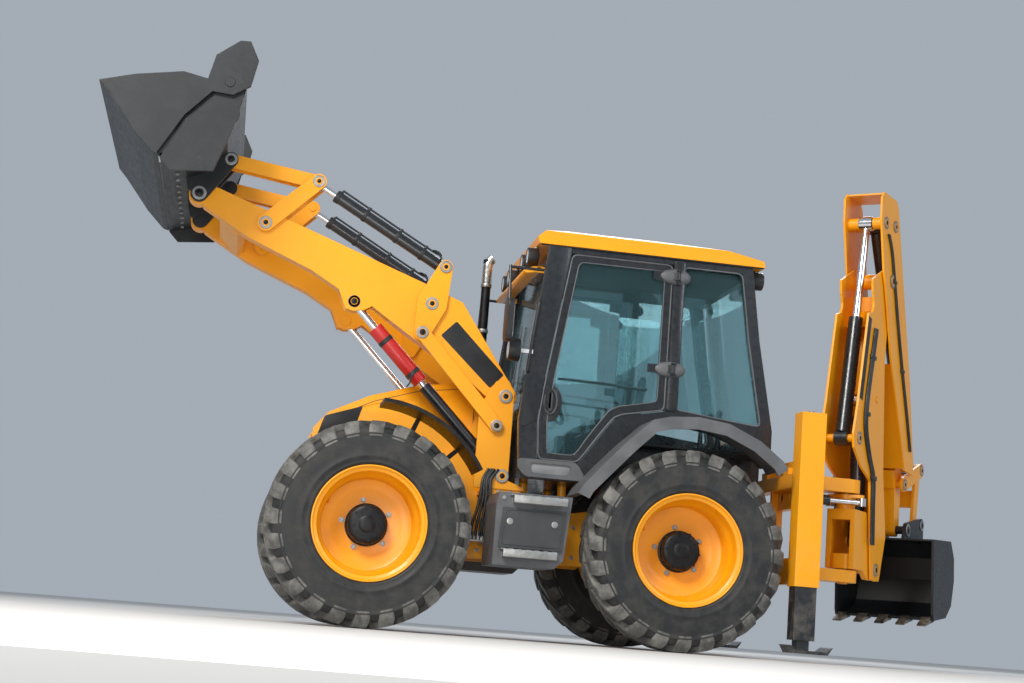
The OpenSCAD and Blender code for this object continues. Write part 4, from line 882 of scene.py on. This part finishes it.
tractorPins = {
    # Each pin is (forward, up, distance of the plate's face from the middle, radius)
    "towerPins": ("chassis", ((1265, 1734, 532, 30), (1320, 1512, 559, 24), (1248, 1155, 532, 30))),
    "armPins": ("loader_arms", ((1858, 2360, 528, 28), (3109, 2824, 528, 28))),
    "leverPins": ("lever_plates", ((1913, 2138, 559, 26), (1779, 2641, 532, 26))),
    "crankPins": ("bellcranks", ((2756, 3172, 528, 26),)),
    "shovelPins": ("shovel", ((3400, 3260, 532, 26), (3600, 2985, 532, 32), (3448, 3618, 1217, 33))),
    "liftPins": ("loader_arms", ((2421, 2322, 500, 26),)),
}
diggerPins = {
    # Each pin is (out, up, distance of the plate's face from the arm's middle, radius)
    "kingpostPins": ("kingpost", ((340, 720, 141, 32), (260, 930, 112, 30))),
    "boomPins": ("boom", ((400, 2960, 167, 36), (-140, 1660, 141, 30))),
    "dipperPins": ("dipper", ((200, 3380, 163, 30), (420, 3400, 165, 28), (1000, 1440, 129, 28))),
    "linkPins": ("tipping_link", ((1420, 1600, 127, 28),)),
    "bucketPins": ("digging_bucket", ((1370, 1150, 161, 26), (1020, 1080, 161, 32))),
}


def makePinEnds(name, body, pins, spot):
    across = (spot(0, 1, 0) - spot(0, 0, 0)).normalized()
    rings, caps = bmesh.new(), bmesh.new()
    for x, z, face, r in pins:
        washer = [(r + 0.3, -7), (r + 17, -7), (r + 19, -5), (r + 19, -2), (r + 16, 0), (r + 0.3, 0)]
        for sign in sides.values():
            at = spot(x, sign * face, z)
            way = across * sign
            lathe(rings, washer, 40, at, way, True)
            lathe(caps, [(0, 2), (r - 12, 2), (r - 9, 0.6), (r - 4, 0.8), (r, -2), (r, -6)], 40, at, way)
            lathe(caps, [(0, 5), (4, 5), (5, 3), (8, 2.5), (8, 0)], 12, at + way * 0.001, way)
    finished(name + "Washers", rings, "zinc", body, 30)
    finished(name + "Caps", caps, "iron", body, 30)


for spot, groups in ((place, tractorPins), (diggerPlace, diggerPins)):
    for name, (body, pins) in groups.items():
        makePinEnds(name, body, pins, spot)
print("pins ready")

# Loader: ram pipes with clamps, hoses, the strut's cover, the arm panels and the shovel's edges

loader = {
    "armMid": 435.0, "armFace": 495.0,
    "panel": [(1772, 2139), (1664, 2254), (1287, 1892), (1383, 1787)],
    "hoses": 5, "hosePitch": 26.0, "hoseRadius": 11.0,
    "towerHose": [
        (1446, 580, 690), (1440, 590, 780), (1418, 585, 900), (1392, 566, 1010), (1386, 545, 1120),
        (1340, 528, 1200)],
    "shovelEdge": [(3850, 3044), (3898, 3062), (3742, 3362), (3560, 3572), (3516, 3556), (3700, 3340)],
    "shovelEdgeFrom": 1171.0, "shovelEdgeTo": 1191.0,
}
# A ram runs from its foot to its eye; distances are along it, and the pipe lies that high over its middle
rams = {
    "shovelRam": {"body": "shovel_barrels", "foot": (1779, 2641), "eye": (2756, 3172), "radius": 44,
                  "mouth": 958, "pipeHeight": 62, "bands": (200, 420, 700), "strutSide": None},
    "liftRam": {"body": "lift_barrels", "foot": (1248, 1155), "eye": (2421, 2322), "radius": 46,
                "mouth": 858, "pipeHeight": 64, "bands": (220, 520),
                "strutSide": 1, "strutPipeEnd": 340, "strutBands": (200, 270)},
}
strut = {"start": 900.0, "length": 510.0, "inner": 53.4, "outer": 57.0, "straps": (985, 1290),
         "tail": [(986, 56, 10), (980, 63, -10), (966, 64, -40), (944, 62, -72), (936, 58, -110)]}


def ramLine(foot, eye):
    # A function from (distance along, across, above) to a point, for a ram from foot to eye
    a, b = Vector((foot[0], 0, foot[1])), Vector((eye[0], 0, eye[1]))
    along = (b - a).normalized()
    above = Vector((-along.z, 0, along.x))

    def spot(d, y, h):
        v = a + along * d + above * h
        return place(v.x, y, v.z)
    return spot


def makeRamDress(name, ram):
    spot = ramLine(ram["foot"], ram["eye"])
    along = (spot(1, 0, 0) - spot(0, 0, 0)).normalized()
    r, height = ram["radius"], ram["pipeHeight"]
    band = [(r + 0.3, -13), (r + 3.5, -13), (r + 4.5, -10), (r + 4.5, 10), (r + 3.5, 13), (r + 0.3, 13)]
    pipes, metal = bmesh.new(), bmesh.new()
    for sign in sides.values():
        y = sign * loader["armMid"]
        # The strut slides over its barrel, so there the pipe ends early and nothing stands out further up
        strutted = sign == ram["strutSide"]
        end = ram["strutPipeEnd"] if strutted else ram["mouth"]
        # Pressure pipe along the barrel, with its elbow into the gland
        tube(pipes, [(70, y, height + 6), (110, y, height + 20), (160, y, height), (end - 90, y, height),
                     (end - 40, y, height), (end - 22, y, height - 8), (end - 20, y, r - 2)], 8, 10, 6, spot)
        for d in ram["strutBands"] if strutted else ram["bands"]:
            lathe(metal, band, 40, spot(d, y, 0), along, True)
            block(metal, (d - 11, y - 12, r), (d + 11, y + 12, height + 10), 2, spot)
        if strutted:
            continue
        # Short return pipe at the foot
        tube(pipes, [(64, y + 16, r - 3), (64, y + 16, height - 8), (84, y + 18, height),
                     (120, y + 20, height + 12), (150, y + 20, height)], 7, 10, 6, spot)
        # Gland nut at the barrel's mouth
        lathe(metal, [(r + 0.4, -38), (r + 3, -38), (r + 4, -35), (r + 4, -3), (r + 1, 0), (r - 6, 1)], 44,
              spot(ram["mouth"], y, 0), along)
    finished(name + "Pipes", pipes, "black", ram["body"])
    finished(name + "Clamps", metal, "trim", ram["body"], 30)


def makeLoaderHoses(sideName, sign):
    startX, startY, startZ = loader["towerHose"][0]
    pitch = loader["hosePitch"]
    hoses, ends = bmesh.new(), bmesh.new()
    for k in range(loader["hoses"]):
        sway = 9 * math.sin(2.3 * k + sign)
        inward = 4 * (k % 2)
        tube(hoses, [(x - pitch * k * (0.55 if j > 2 else 1.0) + sway * (j % 2), sign * (y - inward), z)
                     for j, (x, y, z) in enumerate(loader["towerHose"])], loader["hoseRadius"], 12, 8)
        # Steel swivel at the hose's lower end
        lathe(ends, [(0, 0), (14, 0), (14, 26), (12, 30), (12, 60), (0, 60)], 6,
              place(startX - pitch * k, sign * (startY - inward), startZ - 8), up)
    finished("towerHoses_" + sideName, hoses, "hose", "chassis")
    # The plate that holds the swivels, and its bracket
    block(ends, (startX - pitch * 4 - 24, sign * 556, 668), (startX + 24, sign * 604, 682), 3)
    block(ends, (1330, sign * 330, 655), (1360, sign * 560, 681), 3)
    finished("hoseEnds_" + sideName, ends, "zinc", "chassis", 30)
    # Blank dark panel at the rear of the arm
    face = loader["armFace"]
    bm = bmesh.new()
    prism(bm, roundedLoop(loader["panel"], 14), sign * (face + 0.2), sign * (face + 2), 0.6)
    finished("armPanel_" + sideName, bm, "trim", "loader_arms", 40)


def makeStrut():
    # Red channel over the strut on the left ram, with its black straps and one strap's hanging tail
    spot = ramLine(rams["liftRam"]["foot"], rams["liftRam"]["eye"])
    y = loader["armMid"]
    along = (spot(1, y, 0) - spot(0, y, 0)).normalized()
    inner, outer, length = strut["inner"], strut["outer"], strut["length"]
    bm = bmesh.new()
    lathe(bm, [(inner, 0), (outer - 1, 0), (outer, 2), (outer, length - 2), (outer - 1, length),
               (inner, length)], 48, spot(strut["start"], y, 0), along, True)
    finished("strutCover", bm, "red", "lift_rods", 30)
    bm = bmesh.new()
    for d in strut["straps"]:
        lathe(bm, [(outer + 0.2, -16), (outer + 2.4, -16), (outer + 2.4, 16), (outer + 0.2, 16)], 40,
              spot(d, y, 0), along, True)
    tube(bm, [(d, y + out, h) for d, out, h in strut["tail"]], 6, 8, 6, spot)
    finished("strutStraps", bm, "hose", "lift_rods", 30)


for name, ram in rams.items():
    makeRamDress(name, ram)
for sideName, sign in sides.items():
    makeLoaderHoses(sideName, sign)
makeStrut()
for sideName, sign in sides.items():
    # Welded edge strips that close the joint between the shovel's two halves at the sides
    bm = bmesh.new()
    prism(bm, loader["shovelEdge"], sign * loader["shovelEdgeFrom"], sign * loader["shovelEdgeTo"], 1)
    finished("shovelSideEdge_" + sideName, bm, "bucket", "shovel", 30)
print("loader ready")

# Bonnet: panel seams, black front quarter, latches, and the stack's curved outlet

bonnetParts = {
    "seam": [(1462, 962), (1462, 1800), (1880, 1738), (2205, 1632), (2490, 1482), (2572, 1386), (2600, 962)],
    "quarter": [(2546, 1495), (2277, 1590), (2313, 1458), (2594, 1332)],
    "latches": ((1600, 1000), (2480, 1000)), "side": 318.0,
}
stack = {"at": (1365, -262), "radius": 38.5, "outletFrom": 2700, "bendFrom": 2838, "bendRadius": 96,
         "leans": range(0, 56, 8), "bands": (1910, 2330, 2690)}


def makeBonnetSide(sideName, sign):
    y = sign * bonnetParts["side"]
    bm = bmesh.new()
    loopTube(bm, bonnetParts["seam"], y, 2.4, 50)
    finished("bonnetSeam_" + sideName, bm, "trim", "bonnet")
    bm = bmesh.new()
    prism(bm, roundedLoop(bonnetParts["quarter"], 16), y - sign, y + sign * 2.5, 0.8)
    finished("bonnetQuarter_" + sideName, bm, "trim", "bonnet", 40)
    bm = bmesh.new()
    for x, z in bonnetParts["latches"]:
        block(bm, (x - 20, y - sign, z - 45), (x + 20, y + sign * 7, z + 45), 3)
        lathe(bm, [(0, 12), (10, 12), (12, 10), (12, 0)], 20, place(x, y, z - 20), (0, sign, 0))
    finished("bonnetLatches_" + sideName, bm, "trim", "bonnet", 40)


def makeStack():
    # The outlet is straight up to the bend and then leans back
    x, y = stack["at"]
    bend = stack["bendRadius"]
    stations = [(x, stack["outletFrom"], 0.0)]
    for lean in stack["leans"]:
        t = math.radians(lean)
        stations.append((x - bend * (1 - math.cos(t)), stack["bendFrom"] + bend * math.sin(t), t))
    bm = bmesh.new()
    rings = []
    for cx, cz, t in stations:
        across = Vector((math.cos(t), 0, math.sin(t)))
        rings.append([bm.verts.new(place(cx, y, cz) + (across * math.cos(a) + Vector((0, math.sin(a), 0)))
                                   * stack["radius"] / 1000) for a in turns(48)])
    skin(bm, rings)
    finished("stackOutlet", bm, "stainless", "chassis")
    bm = bmesh.new()
    for z in stack["bands"]:
        lathe(bm, [(37, -14), (41, -14), (42, -11), (42, 11), (41, 14), (37, 14)], 40, place(x, y, z), up,
              True)
        block(bm, (x - 9, y + 38, z - 11), (x + 9, y + 56, z + 11), 2)
    finished("stackBands", bm, "zinc", "chassis", 30)


for sideName, sign in sides.items():
    makeBonnetSide(sideName, sign)
makeStack()
print("bonnet ready")

# Steps, tool box and tank: gratings with teeth, the door's bead and locks, and the filler cap

steps = {
    # Each tread runs from and to these places forward, at this height
    "treads": ((930, 1300, 560), (880, 1250, 930)), "inner": 1100.0, "edges": ((1099, 1103), (1176, 1182)),
    "pitch": 60.0, "rung": (27, 80), "tooth": (9, 7, 7), "toothRoot": 49,
    "doorBead": [(906, 642), (888, 880), (1294, 880), (1312, 642)], "doorFace": 1118,
    "locks": ((1262, 800), (950, 800)),
    "cap": (1290, -1040, 1000), "capGrips": 12,
}


def treadCell():
    # One rung of the grating with saw teeth in two rows
    long, wide, tall = steps["tooth"]
    root = steps["toothRoot"]
    bm = bmesh.new()
    block(bm, (0, 0, root - 2.8), (*steps["rung"], root + 0.5), 1, lambda x, y, z: Vector((x, y, z)) / 1000)
    for k in range(2):
        for j in range(5):
            x, y = 3 + 15 * k, 4 + 17 * j
            corners = ((x, y, root), (x + long, y, root), (x + long, y + wide, root), (x, y + wide, root))
            low = [bm.verts.new(Vector(v) / 1000) for v in corners]
            top = bm.verts.new(Vector((x + long / 2, y + wide / 2, root + tall)) / 1000)
            for n in range(4):
                bm.faces.new((low[n], low[(n + 1) % 4], top))
    return toMesh("treadCell", bm, 20)


def makeTreads(sideName, sign):
    for number, (x0, x1, z) in enumerate(steps["treads"]):
        count = int((x1 - x0 - 10) / steps["pitch"]) + 1
        row = {"Count": count, "Step": (steps["pitch"] / 1000, 0, 0), "Finish": mat["zinc"]}
        cells = grown("treadRungs", treadCell(), "copies", row)
        if sign < 0:
            cells.transform(Matrix.Scale(-1, 4, (0, 1, 0)))
            cells.flip_normals()
        at = place(x0 + 1, sign * steps["inner"], z)
        finished("treadRungs_%s_%d" % (sideName, number), shifted(cells, at), "zinc", "chassis")
        bm = bmesh.new()
        for y0, y1 in steps["edges"]:
            block(bm, (x0 - 2, sign * y0, z - 2), (x1 + 2, sign * y1, z + 50), 1.5)
        finished("treadEdges_%s_%d" % (sideName, number), bm, "zinc", "chassis", 30)


def makeBoxDetails():
    bm = bmesh.new()
    loopTube(bm, steps["doorBead"], steps["doorFace"], 4, 30)
    finished("toolDoorBead", bm, "plastic", "toolbox_door")
    bm = bmesh.new()
    for x, z in steps["locks"]:
        lathe(bm, [(0, 10), (7, 10), (8, 8), (16, 8), (22, 6), (24, 0)], 32, place(x, steps["doorFace"], z))
    finished("toolDoorLocks", bm, "zinc", "toolbox_door", 30)
    x, y, z = steps["cap"]
    bm = bmesh.new()
    lathe(bm, [(0, 34), (34, 34), (40, 30), (44, 24), (46, 4), (52, 2), (54, 0)], 40, place(x, y, z), up)
    for turn in turns(steps["capGrips"]):
        at = place(x + 45 * math.cos(turn), y + 45 * math.sin(turn), z + 6)
        lathe(bm, [(0, 20), (4, 20), (4, 0)], 8, at, up)
    finished("fillerCap", bm, "trim", "chassis", 35)


for sideName, sign in sides.items():
    makeTreads(sideName, sign)
makeBoxDetails()
print("steps ready")

# Roof lamps, hood, rails, side lamps, mirrors and wiper

roofParts = {
    "lampY": (300, 560), "lampZ": 2780, "lampR": 58.0, "frontX": 1110.0, "rearX": -520.0,
    "hood": [
        (1096, 2696), (1150, 2690), (1216, 2672), (1220, 2654), (1212, 2640), (1196, 2636), (1120, 2652),
        (1092, 2668)],
    "hoodHalf": 652,
    "rail": [(-560, 726, 2846), (-300, 730, 2846), (700, 730, 2846), (1120, 722, 2846)],
    "sideLamp": (1230, 750, 2046),
    "pillarRail": [
        (1128, 700, 1900), (1150, 728, 1905), (1154, 742, 1960), (1112, 742, 2360), (1100, 728, 2412),
        (1078, 700, 2415)],
}
# Mirrors are drawn in (left, up) and pushed forward
mirror = {
    "shell": [(788, 2083), (972, 2083), (972, 2387), (788, 2387)], "shellX": (1324, 1364),
    "glass": [(800, 2096), (960, 2096), (960, 2374), (800, 2374)], "glassX": (1316, 1319.5),
}
wiper = {"spindle": (1136, 40, 1600), "lean": 118.0 / 1290, "bladeFoot": 1780, "bladeTop": 2380,
         "arm": [(1168, 40, 1600), (1164, 20, 1700), (1150, -60, 1900), (1138, -120, 2040)]}


def flatX(left, ahead, high):
    return place(ahead, left, high)


def makeRoof():
    r = roofParts["lampR"]
    bezel = [(r + 0.6, 2), (r + 7, 2), (r + 9, 6), (r + 9, 70), (r + 7, 82), (r - 2, 84), (r - 4, 80.5),
             (r + 0.6, 80.4)]
    bm = bmesh.new()
    for sign in sides.values():
        for x, way in ((roofParts["frontX"], 1), (roofParts["rearX"], -1)):
            for y in roofParts["lampY"]:
                lathe(bm, bezel, 48, place(x, sign * y, roofParts["lampZ"]), (way, 0, 0), True)
    finished("lampBezels", bm, "trim", "chassis", 35)
    bm = bmesh.new()
    half = roofParts["hoodHalf"]
    prism(bm, roofParts["hood"], -half, half, 4)
    for sign in sides.values():
        block(bm, (1052, sign * (half - 12), 2648), (1130, sign * half, 2692), 3)
    finished("lampHood", bm, "yellow", "chassis", 35)
    # Drip rail along each side of the roof
    bm = bmesh.new()
    for sign in sides.values():
        tube(bm, [(x, sign * y, z) for x, y, z in roofParts["rail"]], 6)
    finished("roofRail", bm, "trim", "chassis")


def makeCabOutside(sideName, sign):
    x, y, z = roofParts["sideLamp"]
    bm = bmesh.new()
    lathe(bm, [(72.8, -2), (79, -2), (81, 4), (81, 62), (78, 78), (66, 82), (62, 78), (72.8, 74)], 48,
          place(x, sign * y, z), (1, 0, 0), True)
    finished("sideLampRing_" + sideName, bm, "trim", "chassis", 35)
    # Mirror: a rounded shell and its glass, seen from the seat
    shell = roundedLoop([(sign * y, z) for y, z in mirror["shell"]], 62, 6)
    bm = bmesh.new()
    prism(bm, shell, *mirror["shellX"], 7, flatX)
    finished("mirrorShell_" + sideName, bm, "trim", "chassis", 40)
    glass = roundedLoop([(sign * y, z) for y, z in mirror["glass"]], 52, 6)
    bm = bmesh.new()
    prism(bm, glass, *mirror["glassX"], 0.5, flatX)
    finished("mirrorGlass_" + sideName, bm, "chrome", "chassis", 40)
    # Rail beside the windscreen, on two stand-offs
    bm = bmesh.new()
    tube(bm, [(x, sign * y, z) for x, y, z in roofParts["pillarRail"]], 12, 12, 8)
    finished("pillarRail_" + sideName, bm, "trim", "chassis")


def makeWiper():
    # Spindle, arm, and a blade that follows the windscreen's lean
    foot, top = wiper["bladeFoot"], wiper["bladeTop"]
    bm = bmesh.new()
    lathe(bm, [(0, 40), (18, 40), (22, 34), (24, 4), (28, 0)], 28, place(*wiper["spindle"]), (1, 0, 0.1))
    tube(bm, wiper["arm"], 6, 8, 8)
    blade = [(1150 - (z - 1560) * wiper["lean"], -90 - (z - foot) * 0.11, z) for z in range(foot, top + 1, 100)]
    tube(bm, blade, 7, 8, 2)
    finished("wiper", bm, "trim", "chassis")


makeRoof()
for sideName, sign in sides.items():
    makeCabOutside(sideName, sign)
makeWiper()

# Seat and levers

seat = {
    "lean": -8.0, "hinge": (40, 1520), "fill": 0.9, "folds": 7, "foldPitch": 26,
    "cushion": ((82, -258, 1402), (598, 258, 1530)), "back": ((40, -248, 1528), (158, 248, 2150)),
}
levers = {"spots": ((300, -405, 1585), (380, -405, 1585), (-420, 250, 1165), (-420, -250, 1165)),
          "knobHeight": 1795, "folds": 7}


def softBlock(bm, low, high, power=5.0, parts=18, lean=0.0):
    # A stuffed block: a ball pushed out toward a box, leaned in side view about the back's hinge
    mid = [(a + b) / 2 for a, b in zip(low, high)]
    half = [(b - a) / 2 for a, b in zip(low, high)]
    ca, sa = math.cos(math.radians(lean)), math.sin(math.radians(lean))
    hingeX, hingeZ = seat["hinge"]
    known = set(bm.verts)
    made = bmesh.ops.create_cube(bm, size=2.0)
    edges = dict.fromkeys(e for v in made["verts"] for e in v.link_edges)
    bmesh.ops.subdivide_edges(bm, edges=list(edges), cuts=parts, use_grid_fill=True)
    for v in [v for v in bm.verts if v not in known]:
        reach = sum(abs(c) ** power for c in v.co) ** (1 / power)
        x, y, z = (mid[n] + half[n] * v.co[n] / reach for n in range(3))
        dx, dz = x - hingeX, z - hingeZ
        if lean:
            x, z = hingeX + dx * ca + dz * sa, hingeZ - dx * sa + dz * ca
        v.co = place(x, y, z)


def makeSeat():
    bm = bmesh.new()
    softBlock(bm, *seat["cushion"])
    softBlock(bm, *seat["back"], lean=seat["lean"])
    for sign in sides.values():
        # Side rolls of the cushion and of the back
        y = sign * 226
        softBlock(bm, (100, y - 30, 1440), (580, y + 30, 1552), 4.0, 8)
        y = sign * 216
        softBlock(bm, (120, y - 28, 1560), (190, y + 28, 2080), 4.0, 8, seat["lean"])
    finished("seatPads", bm, "cloth", "chassis", 60, ("seat",))
    # Floor plate, folded gaiter and pan under the cushion
    bm = bmesh.new()
    block(bm, (120, -250, 1170.4), (540, 250, 1215), 12)
    for k in range(seat["folds"]):
        inset = 18 if k % 2 else 0
        z = 1215 + seat["foldPitch"] * k
        block(bm, (130 + inset, -240 + inset, z), (530 - inset, 240 - inset, z + 24), 9)
    block(bm, (110, -245, 1388), (560, 245, 1402), 4)
    finished("seatBase", bm, "trim", "chassis", 35)


def makeLevers():
    folds = []
    for k in range(levers["folds"]):
        r = 46 - 4.6 * k
        folds += [(r, 4 + 16 * k), (r - 7, 12 + 16 * k)]
    ball = [(26 * math.sin(math.pi * k / 10), -30 * math.cos(math.pi * k / 10)) for k in range(11)]
    gaiters, knobs = bmesh.new(), bmesh.new()
    for x, y, base in levers["spots"]:
        lathe(gaiters, [(50, 0)] + folds + [(12, 118)], 28, place(x, y, base), up)
        lathe(knobs, ball, 24, place(x, y, levers["knobHeight"]), up)
    finished("leverGaiters", gaiters, "hose", "chassis", 50)
    finished("leverKnobs", knobs, "trim", "chassis", 50)


makeSeat()
makeLevers()
print("cab outside and seat ready")

# Backhoe: hoses on the boom and the dipper, the blank strip, tooth caps, stabiliser hoses

backhoe = {
    # Hoses are drawn in the arm's plane, as out and up; a clip reaches behind, ahead, up and down, and out
    "boomHoses": {
        "body": "boom", "count": 3, "pitch": 26, "radius": 9, "face": 134.0, "clip": (22, 84, 16, 21),
        "clips": ((150, 1400), (-52, 1860), (30, 2300)), "route": [
            (190, 900), (170, 1180), (150, 1400), (40, 1560), (-60, 1760), (-50, 1980), (30, 2300),
            (86, 2530)]},
    "dipperHoses": {
        "body": "dipper", "count": 2, "pitch": 24, "radius": 8, "face": 156.0, "clip": (20, 50, 14, 18),
        "clips": ((420, 2960), (690, 2300)), "route": [
            (240, 3300), (330, 3180), (420, 2960), (560, 2600), (690, 2300), (840, 1980), (960, 1700)]},
    "strip": [(-178, 1960), (-110, 1945), (24, 2590), (-44, 2604)], "stripFace": 134.0,
    "toothPitch": 170, "toothHalf": 34,
    "tooth": [(1010, 415), (1000, 366), (858, 336), (847, 346), (975, 413)],
    # The last number is how far the second hose lies behind the first
    "stabiliserHose": [
        (-846, 990, 1500, 24), (-826, 968, 1440, 24), (-812, 940, 1390, 24), (-804, 925, 1340, 20),
        (-802, 922, 1290, 20)],
    "stabiliserPlug": (-860, 1085, 1754),
}


def makeArmHoses(name, tag, sign):
    hose = backhoe[name]
    face = hose["face"]
    behind, ahead, half, out = hose["clip"]
    bm, clips = bmesh.new(), bmesh.new()
    y = sign * (face + hose["radius"] + 0.5)
    for k in range(hose["count"]):
        tube(bm, [(x + hose["pitch"] * k, y, z) for x, z in hose["route"]], hose["radius"], 10, 6, diggerPlace)
    for x, z in hose["clips"]:
        low, high = (x - behind, sign * (face - 0.5), z - half), (x + ahead, sign * (face + out), z + half)
        block(clips, low, high, 4, diggerPlace)
    finished("%s_%s" % (name, tag), bm, "hose", hose["body"])
    finished("%s_%s" % (name.replace("Hoses", "Clips"), tag), clips, "trim", hose["body"], 30)


def makeBackhoe():
    for sign, tag in ((1, "far"), (-1, "near")):
        makeArmHoses("boomHoses", tag, sign)
        makeArmHoses("dipperHoses", tag, sign)
        # Blank dark strip on the boom
        face = backhoe["stripFace"]
        bm = bmesh.new()
        prism(bm, backhoe["strip"], sign * (face - 0.2), sign * (face + 1.5), 0.4, diggerPlace)
        finished("boomStrip_" + tag, bm, "trim", "boom", 40)
    # A worn cap on each of the five teeth
    bm = bmesh.new()
    for tooth in range(-2, 3):
        y = tooth * backhoe["toothPitch"]
        prism(bm, backhoe["tooth"], y - backhoe["toothHalf"], y + backhoe["toothHalf"], 2, diggerPlace)
    finished("toothCaps", bm, "worn", "digging_bucket", 30)
    # Hoses from each stabiliser's head down to the rear frame, and the plug on the head
    for sideName, sign in sides.items():
        bm = bmesh.new()
        for k in range(2):
            tube(bm, [(x - gap * k, sign * y, z) for x, y, z, gap in backhoe["stabiliserHose"]], 9, 10, 6)
        finished("stabiliserHoses_" + sideName, bm, "hose", "chassis")
        x, y, z = backhoe["stabiliserPlug"]
        bm = bmesh.new()
        lathe(bm, [(0, 14), (18, 14), (20, 11), (20, 0)], 6, place(x, sign * y, z), up)
        finished("stabiliserPlug_" + sideName, bm, "zinc", "chassis", 30)


makeBackhoe()

# Bolts where plates are joined: body, node, starts of the straight lines, their way, width of the head

towerX, towerZ = (1180, 1260, 1340), (960, 1040)
railX, railZ = range(-600, 2200, 140), (620, 840)
boltRows = {
    "edgeBolts": ("shovel", "shovel_back", [(3760, y, 2800) for y in range(-1050, 1051, 175)], up, 26),
    "clamBolts": ("shovel_clam", "shovel_clam", [(3700, y, 2800) for y in range(-1080, 1081, 180)], up, 26),
    "towerBolts_left": ("chassis", "chassis", [(x, 900, z) for x in towerX for z in towerZ], (0, -1, 0), 26),
    "towerBolts_right": ("chassis", "chassis", [(x, -900, z) for x in towerX for z in towerZ], (0, 1, 0), 26),
    "frameBolts": ("chassis", "rear_frame",
                   [(-1400, y, z) for y in (-760, -620, 620, 760) for z in (650, 1280)], (1, 0, 0), 30),
    "stepBolts_left": ("chassis", "toolbox", [(x, 1400, 960) for x in (900, 1310)], (0, -1, 0), 22),
    "railBolts_left": ("chassis", "chassis", [(x, 700, z) for x in railX for z in railZ], (0, -1, 0), 24),
    "railBolts_right": ("chassis", "chassis", [(x, -700, z) for x in railX for z in railZ], (0, 1, 0), 24),
    "fenderBolts_left": ("chassis", "rear_fenders", [(x, 930, 2000) for x in (-500, -300, 100, 250)],
                         (0, 0, -1), 20),
    "carriageBolts": ("carriage", "carriage",
                      [(-1600, y, z) for y in (210, 790) for z in (620, 720, 1220, 1320)], (1, 0, 0), 28),
}


def surfaceBolts(name, body, node, starts, way, size):
    # Hexagon heads where straight lines from the starts meet the node
    aim = Vector(way)
    spots = []
    for start in starts:
        found, point, _, _ = nodes[node].ray_cast(place(*start), aim)
        if found:
            spots.append((point, tuple(-aim), size))
    if spots:
        fasteners(name, body, spots)


for name, row in boltRows.items():
    surfaceBolts(name, *row)
print("backhoe and bolts ready")
